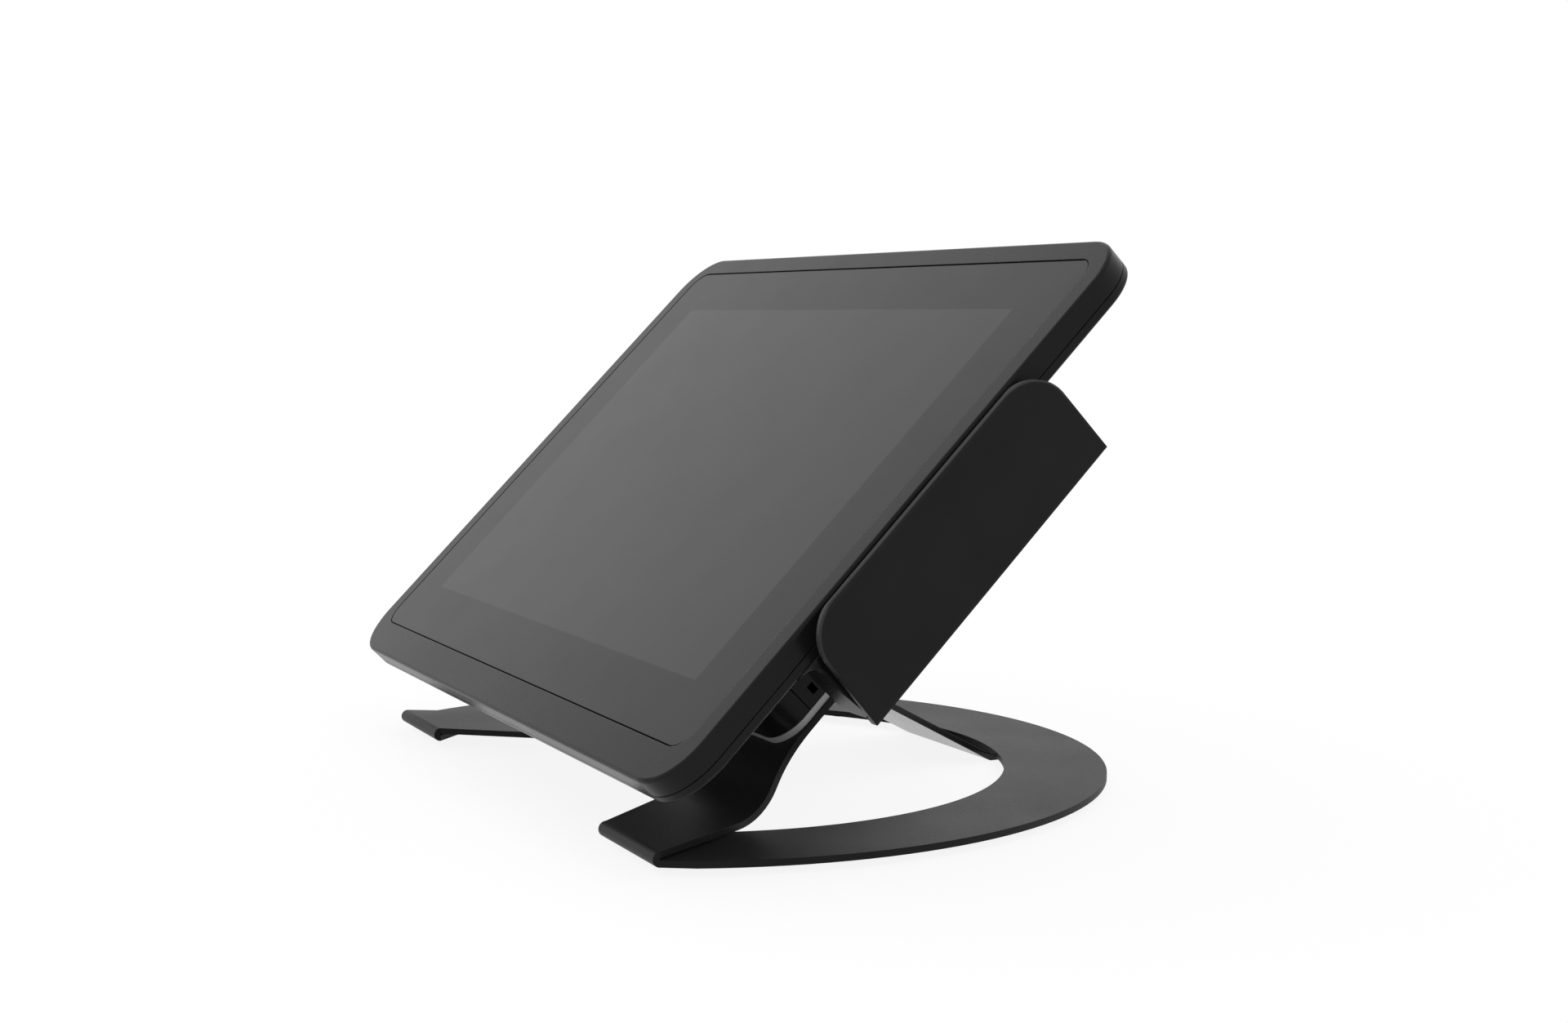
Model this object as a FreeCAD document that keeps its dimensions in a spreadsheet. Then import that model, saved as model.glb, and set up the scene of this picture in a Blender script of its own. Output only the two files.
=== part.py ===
import FreeCAD, Part
import math
import os
import Sketcher

# Card payment terminal: touch display at 45 degrees on a stand folded from steel sheet,
# with a swipe reader on the display's right edge. Millimetres, +Z up, the front faces -Y,
# and the origin lies on the table at the centre of the stand's ring.
# Pieces of the display are drawn in its own axes: u to the right, v up the face and
# w out of it, with w = 0 on the face, and they are placed as one.

# Driving dimensions

SIZES = {
    # place of the display
    "tilt_angle": 45.0,
    "face_height": 95.8,
    "face_advance": 2.0,
    # clearances and cuts
    "clearance": 0.3,
    "overrun": 1.0,
    # body of the display
    "body_width": 272.7,
    "body_height": 192.4,
    "body_corner": 16.0,
    "rim_depth": 9.1,
    "rim_wall": 2.2,
    "seam_depth": 6.2,
    "edge_radius": 1.1,
    # front bezel
    "ledge_thickness": 1.5,
    "ledge_side": 11.7,
    "ledge_end": 9.4,
    "ledge_corner": 3.0,
    "tongue_width": 1.5,
    "tongue_depth": 0.6,
    "boss_radius": 3.2,
    "boss_inset": 13.45,
    "boss_spread": 50.0,
    "boss_row": 60.0,
    # cover glass
    "border_side": 7.65,
    "border_top": 7.7,
    "border_bottom": 11.9,
    "glass_corner": 7.0,
    "glass_thickness": 1.8,
    "adhesive_thickness": 0.3,
    "adhesive_inset": 1.0,
    # display panel
    "panel_margin": 2.25,
    "panel_thickness": 2.8,
    "panel_rim": 4.0,
    "panel_rim_depth": 0.3,
    "driver_strip_inset": 24.75,
    "driver_strip_height": 6.0,
    # panel frame
    "frame_thickness": 1.0,
    "frame_depth": 5.2,
    "frame_window_width": 24.0,
    "frame_window_height": 8.0,
    "standoff_radius": 3.0,
    # small screws
    "screw_radius": 1.0,
    "screw_head_radius": 1.9,
    "screw_head_height": 1.1,
    "flat_head_height": 0.5,
    "frame_screw_reach": 2.2,
    "cover_screw_reach": 3.4,
    "board_screw_reach": 8.0,
    "reader_screw_reach": 6.0,
    "socket_radius": 0.7,
    "socket_depth": 0.35,
    # electronics housing behind the display
    "housing_width": 148.6,
    "housing_top": 50.0,
    "housing_bottom": -54.5,
    "housing_depth": 48.4,
    "housing_wall": 2.2,
    "housing_corner": 10.0,
    "parting_line": -41.7,
    "grille_slot_width": 1.8,
    "grille_slot_length": 14.0,
    "grille_pitch": 4.0,
    "vent_slot_length": 12.0,
    "lock_slot_width": 2.2,
    "lock_slot_length": 3.0,
    "lock_slot_place": -37.0,
    # mounting pattern between the housing and the stand
    "pattern_pitch": 75.0,
    "pattern_raise": 4.0,
    "mount_boss_radius": 5.5,
    "mount_boss_height": 8.0,
    "insert_radius": 3.0,
    "insert_length": 7.0,
    "mount_screw_radius": 2.0,
    "mount_screw_head_radius": 4.0,
    "mount_screw_head_height": 2.6,
    "mount_screw_reach": 11.1,
    "mount_screw_socket": 1.25,
    "mount_screw_socket_depth": 1.4,
    "plate_thickness": 2.0,
    # main board
    "board_side_gap": 6.1,
    "board_bottom_gap": 2.0,
    "board_top_gap": 3.8,
    "board_depth": 20.0,
    "board_thickness": 1.6,
    "board_screw_margin": 5.0,
    "chip_size": 20.0,
    "chip_height": 1.2,
    "capacitor_radius": 3.2,
    "capacitor_height": 7.0,
    "capacitor_pitch": 9.0,
    "coil_size": 8.0,
    "coil_height": 4.0,
    # cooler
    "cooler_size": 42.0,
    "cooler_base": 3.0,
    "cooler_height": 13.0,
    "fin_thickness": 1.2,
    "cooler_place": -38.0,
    "cooler_raise": 16.0,
    # memory
    "memory_length": 67.6,
    "memory_height": 28.0,
    "memory_thickness": 1.2,
    "memory_rise": 3.0,
    "memory_place": 27.0,
    "memory_raise": 10.0,
    "memory_socket_height": 6.0,
    "memory_chip_height": 1.0,
    # clock cell
    "cell_radius": 10.0,
    "cell_thickness": 3.2,
    "cell_place": 20.0,
    "cell_raise": -8.0,
    "cell_holder_wall": 1.0,
    # ports
    "bracket_thickness": 1.0,
    "bracket_width": 92.0,
    "bracket_height": 18.0,
    "port_window_width": 70.0,
    "port_window_height": 14.5,
    "inlet_width": 10.0,
    "inlet_height": 11.0,
    "inlet_length": 14.0,
    "inlet_bore": 3.15,
    "inlet_pin": 1.0,
    "inlet_place": -28.0,
    "usb_width": 14.5,
    "usb_height": 7.0,
    "usb_length": 16.0,
    "usb_shell": 0.8,
    "usb_tongue": 2.0,
    "usb_place": 1.0,
    "usb_pitch": 20.0,
    # speakers and antennas
    "speaker_length": 18.0,
    "speaker_height": 8.0,
    "speaker_width": 20.0,
    "speaker_gap": 7.6,
    "speaker_depth": 34.0,
    "speaker_cone_radius": 7.0,
    "speaker_cone_depth": 2.0,
    "antenna_length": 40.0,
    "antenna_width": 16.0,
    "antenna_thickness": 0.8,
    "antenna_foot": 2.0,
    # power button on the housing's left wall
    "button_length": 12.0,
    "button_height": 4.6,
    "button_raise": 20.0,
    "button_depth": 14.5,
    "button_rise": 0.9,
    "button_travel": 0.6,
    "button_flange": 0.8,
    "button_flange_margin": 1.0,
    "switch_size": 6.0,
    "plunger_radius": 1.2,
    "plunger_reach": 1.1,
    "button_board_length": 26.0,
    "button_board_height": 8.6,
    "button_board_thickness": 1.2,
    "button_board_gap": 4.1,
    "button_post_radius": 2.0,
    "button_post_pitch": 20.0,
    # cable cover
    "cable_cover_wall": 2.0,
    "cable_notch_width": 50.0,
    "cable_notch_height": 28.0,
    "cable_notch_corner": 4.0,
    "rail_width": 2.5,
    "rail_height": 4.0,
    "rail_depth": 26.0,
    "rail_reach": 12.0,
    # card reader
    "slot_mouth": 5.7,
    "wing_wall": 2.1,
    "wing_lean": 5.1,
    "wing_rise": 1.9,
    "wing_bottom": -45.3,
    "wing_top": 50.3,
    "wing_corner": 14.0,
    "wing_low_corner": 12.3,
    "wing_flare": 1.0,
    "reader_depth": 33.0,
    "reader_wall": 2.0,
    "reader_width": 17.45,
    "reader_inset": 0.3,
    "slot_hollow": 4.45,
    "slot_hollow_depth": 18.5,
    "slot_floor": 2.5,
    "slot_floor_width": 1.2,
    "fairing_radius": 7.0,
    "chamber_width": 8.8,
    "reader_post_radius": 2.2,
    "reader_post_margin": 5.5,
    "reader_lid_thickness": 1.8,
    # read head
    "head_length": 14.0,
    "head_height": 9.0,
    "head_reach": 7.4,
    "head_depth": 22.0,
    "head_nose": 1.0,
    "head_travel": 0.8,
    "spring_length": 40.0,
    "spring_height": 4.0,
    "spring_thickness": 0.4,
    "spring_post_radius": 1.6,
    "spring_post_margin": 3.0,
    "reader_board_length": 62.0,
    "reader_board_height": 17.0,
    "reader_board_thickness": 1.2,
    "reader_chip_size": 6.0,
    "reader_chip_height": 1.0,
    # stand of folded sheet
    "sheet_thickness": 1.9,
    "ring_radius": 127.9,
    "ring_opening": 96.5,
    "ring_front": 61.9,
    "hem_gap": 0.5,
    "hem_blend": 8.0,
    "leg_bend_radius": 22.0,
    "leg_blend_radius": 34.0,
    "crotch_radius": 32.0,
    "leg_corner": 10.0,
    "leg_overhang": 0.8,
    "leg_side_rise": 11.1,
    "crotch_rise": 41.4,
    "strut_width": 52.8,
    "strut_knee_gap": 4.5,
    "strut_foot_margin": 12.1,
    "strut_angle": 28.4,
    "strut_bend_radius": 2.0,
    "strut_flange": 44.0,
    "pad_radius": 5.0,
    "pad_thickness": 2.3,
}

# places of the rubber pads round the ring, as shares of a half turn from its rear
PAD_PLACE_SHARES = (0.21, 0.43, 0.64)
# sections of the leg's bend
BEND_SECTIONS = 7
FIN_COUNT = 11
GRILLE_SLOTS = 5
VENT_SLOTS = 9

doc = FreeCAD.newDocument("card_payment_terminal")
sheet = doc.addObject("Spreadsheet::Sheet", "sizes")
for row, (alias, number) in enumerate(SIZES.items(), start=1):
    sheet.set("A%d" % row, alias)
    sheet.set("B%d" % row, str(number))
    sheet.setAlias("B%d" % row, alias)
doc.recompute()


# Sizes that carry their sheet expression

class Size:
    """A number together with the expression that gives it on the sheet."""

    def __init__(self, value, text):
        self.value = value
        self.text = text

    def __float__(self):
        return float(self.value)

    def __add__(self, other):
        return joined(self, "+", other, float(self) + float(other))

    def __radd__(self, other):
        return joined(other, "+", self, float(self) + float(other))

    def __sub__(self, other):
        return joined(self, "-", other, float(self) - float(other))

    def __rsub__(self, other):
        return joined(other, "-", self, float(other) - float(self))

    def __mul__(self, other):
        return joined(self, "*", other, float(self) * float(other))

    def __rmul__(self, other):
        return joined(other, "*", self, float(self) * float(other))

    def __truediv__(self, other):
        return joined(self, "/", other, float(self) / float(other))

    def __neg__(self):
        return joined(-1, "*", self, -float(self))


def text_of(value):
    return value.text if isinstance(value, Size) else repr(value)


def joined(first, sign, second, value):
    return Size(value, "(%s %s %s)" % (text_of(first), sign, text_of(second)))


class Sizes:
    """Every named size of the sheet as an attribute."""

    def __getattr__(self, alias):
        return Size(float(sheet.get(alias)), "sizes." + alias)


S = Sizes()


def bind(thing, path, value):
    """Sets a property to a size and ties it to the sheet."""
    if isinstance(value, Size):
        thing.setExpression(path, value.text)
    else:
        thing.setExpression(path, None)
        setattr(thing, path, value)


def vector(x, y, z):
    return FreeCAD.Vector(float(x), float(y), float(z))


# Levels behind the face, and half widths that many pieces share

FACE_LEVEL = Size(0, "0")
MIDDLE = Size(0, "0")
BODY_HALF = S.body_width / 2
GLASS_WIDTH = S.body_width - S.border_side * 2
GLASS_HEIGHT = S.body_height - S.border_top - S.border_bottom
GLASS_RAISE = (S.border_bottom - S.border_top) / 2
LEDGE_WIDTH = GLASS_WIDTH - S.ledge_side * 2
LEDGE_HEIGHT = GLASS_HEIGHT - S.ledge_end * 2
GLASS_BACK = -S.glass_thickness
LEDGE_FRONT = GLASS_BACK - S.adhesive_thickness
LEDGE_BACK = LEDGE_FRONT - S.ledge_thickness
SEAM_FRONT = -S.seam_depth + S.clearance / 2
SEAM_BACK = -S.seam_depth - S.clearance / 2
RIM_BACK = -S.rim_depth
RIM_FLOOR = RIM_BACK + S.rim_wall - S.clearance / 2
FRAME_FRONT = -S.frame_depth
FRAME_BACK = FRAME_FRONT - S.frame_thickness
HOUSING_HALF = S.housing_width / 2
HOUSING_BACK = -S.housing_depth
HOUSING_INSIDE = HOUSING_HALF - S.housing_wall
HOUSING_FLOOR = HOUSING_BACK + S.housing_wall
HOUSING_MIDDLE = (S.housing_top + S.housing_bottom) / 2
HOUSING_HEIGHT = S.housing_top - S.housing_bottom
END_WALL = S.parting_line + S.housing_wall
PLATE_BACK = HOUSING_BACK - S.plate_thickness
LEG_BACK = PLATE_BACK - S.sheet_thickness
LEG_HALF = HOUSING_HALF + S.leg_overhang
BOARD_HALF = HOUSING_INSIDE - S.board_side_gap
BOARD_BOTTOM = END_WALL + S.board_bottom_gap
BOARD_TOP = S.housing_top - S.housing_wall - S.board_top_gap
BOARD_FRONT = -S.board_depth
BOARD_BACK = BOARD_FRONT - S.board_thickness
READER_BACK = -S.reader_depth
READER_LEFT = BODY_HALF - S.reader_width
CHAMBER_LEFT = READER_LEFT + S.reader_wall
CHAMBER_RIGHT = CHAMBER_LEFT + S.chamber_width
CHAMBER_FRONT = RIM_BACK - S.reader_wall
LID_FRONT = READER_BACK + S.reader_lid_thickness
SPEAKER_PLACE = HOUSING_INSIDE - S.speaker_gap - S.speaker_width / 2
SMALL_BORE = S.screw_radius + S.clearance

HEAD = FreeCAD.Placement(
    vector(0, -S.face_advance, S.face_height),
    FreeCAD.Rotation(vector(1, 0, 0), float(S.tilt_angle)),
)

nodes = []


def node(thing, label, placement=None):
    """Names a finished sub-part and puts it in its place."""
    thing.Label = label
    if placement is not None:
        thing.Placement = placement
    nodes.append(thing)
    return thing


# Primitives and booleans

def box(left, low, back, width, height, depth):
    """A box from its corner with the least u, v and w."""
    thing = doc.addObject("Part::Box", "block")
    for path, value in (("Length", width), ("Width", height), ("Height", depth)):
        bind(thing, path, value)
    thing.Placement.Base = vector(left, low, back)
    for path, value in (("x", left), ("y", low), ("z", back)):
        if isinstance(value, Size):
            thing.setExpression(".Placement.Base." + path, value.text)
    return thing


def span(u, v, w):
    """A box from three pairs of limits."""
    return box(u[0], v[0], w[0], u[1] - u[0], v[1] - v[0], w[1] - w[0])


def cylinder(u, v, w, radius, length, direction=(0, 0, 1)):
    thing = doc.addObject("Part::Cylinder", "round")
    bind(thing, "Radius", radius)
    bind(thing, "Height", length)
    turn = FreeCAD.Rotation(vector(0, 0, 1), vector(*direction))
    thing.Placement = FreeCAD.Placement(vector(u, v, w), turn)
    for path, value in (("x", u), ("y", v), ("z", w)):
        if isinstance(value, Size):
            thing.setExpression(".Placement.Base." + path, value.text)
    return thing


def fused(things):
    if len(things) == 1:
        return things[0]
    thing = doc.addObject("Part::MultiFuse", "joined")
    thing.Shapes = things
    return thing


def cut(base, tools):
    thing = doc.addObject("Part::Cut", "cut")
    thing.Base = base
    thing.Tool = fused(tools)
    return thing


def common(first, second):
    thing = doc.addObject("Part::Common", "overlap")
    thing.Base = first
    thing.Tool = second
    return thing


def group(things):
    """Several loose solids as one sub-part."""
    thing = doc.addObject("Part::Compound", "set")
    thing.Links = things
    return thing


def shaped(name, shape):
    """A sub-part whose shape is worked out in code."""
    thing = doc.addObject("Part::Feature", name)
    thing.Shape = shape
    return thing


# Plates with rounded corners, as sketches and pads

def rounded_rectangle(sketch, width, height, corner, middle):
    """Adds a rounded rectangle, centred across and at the given height, to a sketch."""
    half_w = float(width) / 2
    half_h = float(height) / 2
    r = float(corner)
    mid = float(middle)
    first = sketch.GeometryCount
    quarter = math.pi / 2
    for index, (side, end) in enumerate(((1, 1), (-1, 1), (-1, -1), (1, -1))):
        centre = vector(side * (half_w - r), mid + end * (half_h - r), 0)
        circle = Part.Circle(centre, vector(0, 0, 1), r)
        arc = Part.ArcOfCircle(circle, quarter * index, quarter * (index + 1))
        sketch.addGeometry(arc, False)
    for index in range(4):
        start = sketch.Geometry[first + index].EndPoint
        end = sketch.Geometry[first + (index + 1) % 4].StartPoint
        sketch.addGeometry(Part.LineSegment(start, end), False)
    rules = []
    for index in range(4):
        arc = first + index
        line = first + 4 + index
        following = first + (index + 1) % 4
        rules.append(Sketcher.Constraint("Tangent", arc, 2, line, 1))
        rules.append(Sketcher.Constraint("Tangent", line, 2, following, 1))
        if index:
            rules.append(Sketcher.Constraint("Equal", first, arc))
    rules.append(Sketcher.Constraint("Horizontal", first + 4))
    rules.append(Sketcher.Constraint("Vertical", first + 5))
    sketch.addConstraint(rules)
    # distances of the four sides from the sketch's origin, and the corner
    sides = (
        ("DistanceX", first + 7, width / 2),
        ("DistanceX", first + 5, -width / 2),
        ("DistanceY", first + 4, middle + height / 2),
        ("DistanceY", first + 6, middle - height / 2),
    )
    for kind, line, place in sides:
        index = sketch.addConstraint(Sketcher.Constraint(kind, -1, 1, line, 1, float(place)))
        sketch.setExpression("Constraints[%d]" % index, place.text)
    index = sketch.addConstraint(Sketcher.Constraint("Radius", first, r))
    sketch.setExpression("Constraints[%d]" % index, text_of(corner))


def new_body(name):
    return doc.addObject("PartDesign::Body", name)


def face_plane(body):
    for feature in body.Origin.OriginFeatures:
        if feature.Role == "XY_Plane":
            return feature


def layer(body, back, front, outlines):
    """Pads one layer of a body between two levels; a second outline is its opening."""
    sketch = body.newObject("Sketcher::SketchObject", "outline")
    sketch.AttachmentSupport = [(face_plane(body), "")]
    sketch.MapMode = "FlatFace"
    sketch.AttachmentOffset = FreeCAD.Placement(vector(0, 0, back), FreeCAD.Rotation())
    sketch.setExpression(".AttachmentOffset.Base.z", back.text)
    for outline in outlines:
        rounded_rectangle(sketch, *outline)
    pad = body.newObject("PartDesign::Pad", "layer")
    pad.Profile = sketch
    pad.setExpression("Length", (front - back).text)
    return pad


def inset(outline, amount):
    """The same rounded rectangle drawn in by an amount on every side."""
    width, height, corner, middle = outline
    return (width - amount * 2, height - amount * 2, corner - amount, middle)


BODY_OUTLINE = (S.body_width, S.body_height, S.body_corner, MIDDLE)
GLASS_OUTLINE = (GLASS_WIDTH, GLASS_HEIGHT, S.glass_corner, GLASS_RAISE)
LEDGE_OUTLINE = (LEDGE_WIDTH, LEDGE_HEIGHT, S.ledge_corner, GLASS_RAISE)
HOUSING_OUTLINE = (S.housing_width, HOUSING_HEIGHT, S.housing_corner, HOUSING_MIDDLE)


def round_edges(body, name, level, outline, radius):
    """Rounds the edges of a body that lie on one level along an outline."""
    doc.recompute()
    width, height, corner, middle = (float(value) for value in outline)
    tip = body.Tip
    names = []
    for index, edge in enumerate(tip.Shape.Edges, start=1):
        limits = edge.BoundBox
        flat = abs(limits.ZMin - float(level)) + abs(limits.ZMax - float(level))
        reach_u = max(abs(limits.XMin), abs(limits.XMax))
        reach_v = max(abs(limits.YMin - middle), abs(limits.YMax - middle))
        outside = max(reach_u - width / 2, reach_v - height / 2)
        if flat < float(S.clearance) / 100 and abs(outside) < float(S.clearance) / 100:
            names.append("Edge%d" % index)
    fillet = body.newObject("PartDesign::Fillet", name)
    fillet.Base = (tip, names)
    fillet.setExpression("Radius", radius.text)
    return fillet


# Places of the small screws round the display

SIDE_PLACE = BODY_HALF - S.boss_inset + S.tongue_width
TOP_PLACE = S.body_height / 2 - S.boss_inset + S.rim_wall
BOTTOM_PLACE = -TOP_PLACE
CORNER_U = BODY_HALF - S.boss_inset
CORNER_V = S.body_height / 2 - S.boss_inset - S.boss_radius


def frame_screw_places():
    sides = [(side * SIDE_PLACE, end * S.boss_spread) for side in (-1, 1) for end in (-1, 1)]
    ends = [(side * S.boss_row, end) for side in (-1, 1) for end in (TOP_PLACE, BOTTOM_PLACE)]
    return sides + ends


def cover_screw_places():
    corners = [(side * CORNER_U, end * CORNER_V) for side in (-1, 1) for end in (-1, 1)]
    return corners + [(MIDDLE, TOP_PLACE), (MIDDLE, BOTTOM_PLACE)]


def board_screw_places():
    top = BOARD_TOP - S.board_screw_margin
    bottom = BOARD_BOTTOM + S.board_screw_margin + S.board_screw_margin / 2
    spread = BOARD_HALF - S.board_screw_margin
    return [(side * spread, end) for side in (-1, 1) for end in (bottom, top)]


def pattern_places():
    half = S.pattern_pitch / 2
    return [(side * half, S.pattern_raise + end * half) for side in (-1, 1) for end in (-1, 1)]


def reader_post_places():
    middle = (CHAMBER_LEFT + CHAMBER_RIGHT) / 2
    return [(middle, S.wing_bottom + S.reader_post_margin), (middle, S.wing_top - S.reader_post_margin)]


def screw(u, v, seat, reach, head_radius, head_height, way=1, radius=None, socket=None, depth=None):
    """A screw whose head rests on a seat; its shank points along w by the given way."""
    radius = radius or S.screw_radius
    socket = socket or S.socket_radius
    depth = depth or S.socket_depth
    direction = (0, 0, way)
    back = (0, 0, -way)
    shank = cylinder(u, v, seat, radius, reach, direction)
    head = cylinder(u, v, seat, head_radius, head_height, back)
    recess = cylinder(u, v, seat - way * (head_height - depth), socket, depth + S.overrun, back)
    return cut(fused([shank, head]), [recess])


# Front bezel, glass and panel

def build_front_bezel():
    body = new_body("bezel_body")
    glass_hole = inset(GLASS_OUTLINE, -S.clearance)
    wall = S.rim_wall + S.clearance + S.tongue_width
    layer(body, LEDGE_FRONT, FACE_LEVEL, [BODY_OUTLINE, glass_hole])
    layer(body, LEDGE_BACK, LEDGE_FRONT, [BODY_OUTLINE, LEDGE_OUTLINE])
    layer(body, SEAM_FRONT, LEDGE_BACK, [BODY_OUTLINE, inset(BODY_OUTLINE, wall)])
    tongue = inset(BODY_OUTLINE, S.rim_wall + S.clearance)
    layer(body, SEAM_FRONT - S.tongue_depth, SEAM_FRONT, [tongue, inset(BODY_OUTLINE, wall)])
    round_edges(body, "front_edge", FACE_LEVEL, BODY_OUTLINE, S.edge_radius)
    bosses = []
    bores = []
    for u, v in frame_screw_places():
        bosses.append(cylinder(u, v, FRAME_FRONT, S.boss_radius, LEDGE_BACK - FRAME_FRONT))
        bores.append(cylinder(u, v, FRAME_FRONT, SMALL_BORE, S.frame_screw_reach))
    for u, v in cover_screw_places():
        bosses.append(cylinder(u, v, RIM_FLOOR, S.boss_radius, LEDGE_BACK - RIM_FLOOR))
        bores.append(cylinder(u, v, RIM_FLOOR, SMALL_BORE, S.cover_screw_reach + S.clearance))
    return node(cut(fused([body] + bosses), bores), "front_bezel", HEAD)


def build_cover_glass():
    body = new_body("glass_body")
    layer(body, GLASS_BACK, FACE_LEVEL, [GLASS_OUTLINE])
    return node(body, "cover_glass", HEAD)


def build_glass_adhesive():
    body = new_body("adhesive_body")
    layer(body, LEDGE_FRONT, GLASS_BACK, [inset(GLASS_OUTLINE, S.adhesive_inset), LEDGE_OUTLINE])
    return node(body, "glass_adhesive", HEAD)


def build_lcd_panel():
    half = LEDGE_WIDTH / 2 - S.panel_margin
    low = GLASS_RAISE - LEDGE_HEIGHT / 2 + S.panel_margin
    high = GLASS_RAISE + LEDGE_HEIGHT / 2 - S.panel_margin
    back = GLASS_BACK - S.panel_thickness
    slab = span((-half, half), (low, high), (back, GLASS_BACK))
    hollow = span((-half + S.panel_rim, half - S.panel_rim),
                  (low + S.panel_rim, high - S.panel_rim),
                  (back - S.overrun, back + S.panel_rim_depth))
    strip_half = half - S.driver_strip_inset
    strip = span((-strip_half, strip_half),
                 (low + S.panel_rim, low + S.panel_rim + S.driver_strip_height),
                 (back, back + S.panel_rim_depth))
    return node(fused([cut(slab, [hollow]), strip]), "lcd_panel", HEAD)


def build_panel_frame():
    body = new_body("frame_body")
    wall = S.rim_wall + S.clearance + S.tongue_width + S.clearance
    layer(body, FRAME_BACK, FRAME_FRONT, [inset(BODY_OUTLINE, wall)])
    posts = []
    holes = []
    for u, v in board_screw_places():
        posts.append(cylinder(u, v, BOARD_FRONT, S.standoff_radius, FRAME_BACK - BOARD_FRONT))
        holes.append(cylinder(u, v, BOARD_FRONT, SMALL_BORE, S.board_screw_reach))
    for u, v in frame_screw_places():
        holes.append(cylinder(u, v, FRAME_BACK - S.overrun, SMALL_BORE, S.frame_thickness + S.overrun * 2))
    for u, v in cover_screw_places():
        hole = S.boss_radius + S.clearance
        holes.append(cylinder(u, v, FRAME_BACK - S.overrun, hole, S.frame_thickness + S.overrun * 2))
    half = S.frame_window_width / 2
    holes.append(span((-half, half),
                      (BOARD_BOTTOM - S.frame_window_height * 2, BOARD_BOTTOM - S.frame_window_height),
                      (FRAME_BACK - S.overrun, FRAME_FRONT + S.overrun)))
    return node(cut(fused([body] + posts), holes), "panel_frame", HEAD)


def build_frame_screws():
    screws = [screw(u, v, FRAME_BACK, S.frame_thickness + S.frame_screw_reach - S.clearance,
                    S.screw_head_radius, S.flat_head_height)
              for u, v in frame_screw_places()]
    return node(group(screws), "frame_screws", HEAD)


# Rear cover with the electronics housing

def slot_row(middle, count, pitch, make):
    start = (1 - count) / 2
    return [make(middle + (start + index) * pitch) for index in range(count)]


def grille_cuts():
    """Slots through the top wall over the speakers and the cooler."""
    half = S.grille_slot_width / 2
    wall = (S.housing_top - S.housing_wall - S.overrun, S.housing_top + S.overrun)
    middle = -S.speaker_depth
    reach = S.grille_slot_length / 2

    def slot(u):
        return span((u - half, u + half), wall, (middle - reach, middle + reach))

    def vent(u):
        return span((u - half, u + half), wall, (middle - S.vent_slot_length / 2, middle + S.vent_slot_length / 2))

    cuts = []
    for side in (-1, 1):
        cuts += slot_row(side * SPEAKER_PLACE, GRILLE_SLOTS, S.grille_pitch, slot)
    return cuts + slot_row(MIDDLE, VENT_SLOTS, S.grille_pitch, vent)


def rail_slots():
    """Openings in the housing's end wall for the cable cover's rails."""
    inner = HOUSING_INSIDE - S.rail_width - S.clearance * 2
    depth = (-S.rail_depth - S.rail_height - S.clearance, -S.rail_depth + S.clearance)
    wall = (S.parting_line - S.overrun, END_WALL + S.overrun)
    return [span((-HOUSING_INSIDE, -inner), wall, depth), span((inner, HOUSING_INSIDE), wall, depth)]


def port_window():
    half = S.port_window_width / 2
    front = BOARD_BACK + S.clearance * 3
    return span((-half, half), (S.parting_line - S.overrun, END_WALL + S.overrun),
                (front - S.port_window_height, front))


def lock_slot():
    half = S.lock_slot_width / 2
    back = HOUSING_FLOOR + S.clearance
    return span((HOUSING_INSIDE - S.overrun, HOUSING_HALF + S.overrun),
                (S.lock_slot_place - half, S.lock_slot_place + half),
                (back, back + S.lock_slot_length))


def button_hole():
    half_v = S.button_length / 2 + S.clearance
    half_w = S.button_height / 2 + S.clearance
    return span((-HOUSING_HALF - S.overrun, -HOUSING_INSIDE + S.overrun),
                (S.button_raise - half_v, S.button_raise + half_v),
                (-S.button_depth - half_w, -S.button_depth + half_w))


def button_post_places():
    half = S.button_post_pitch / 2
    return [S.button_raise - half, S.button_raise + half]


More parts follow.
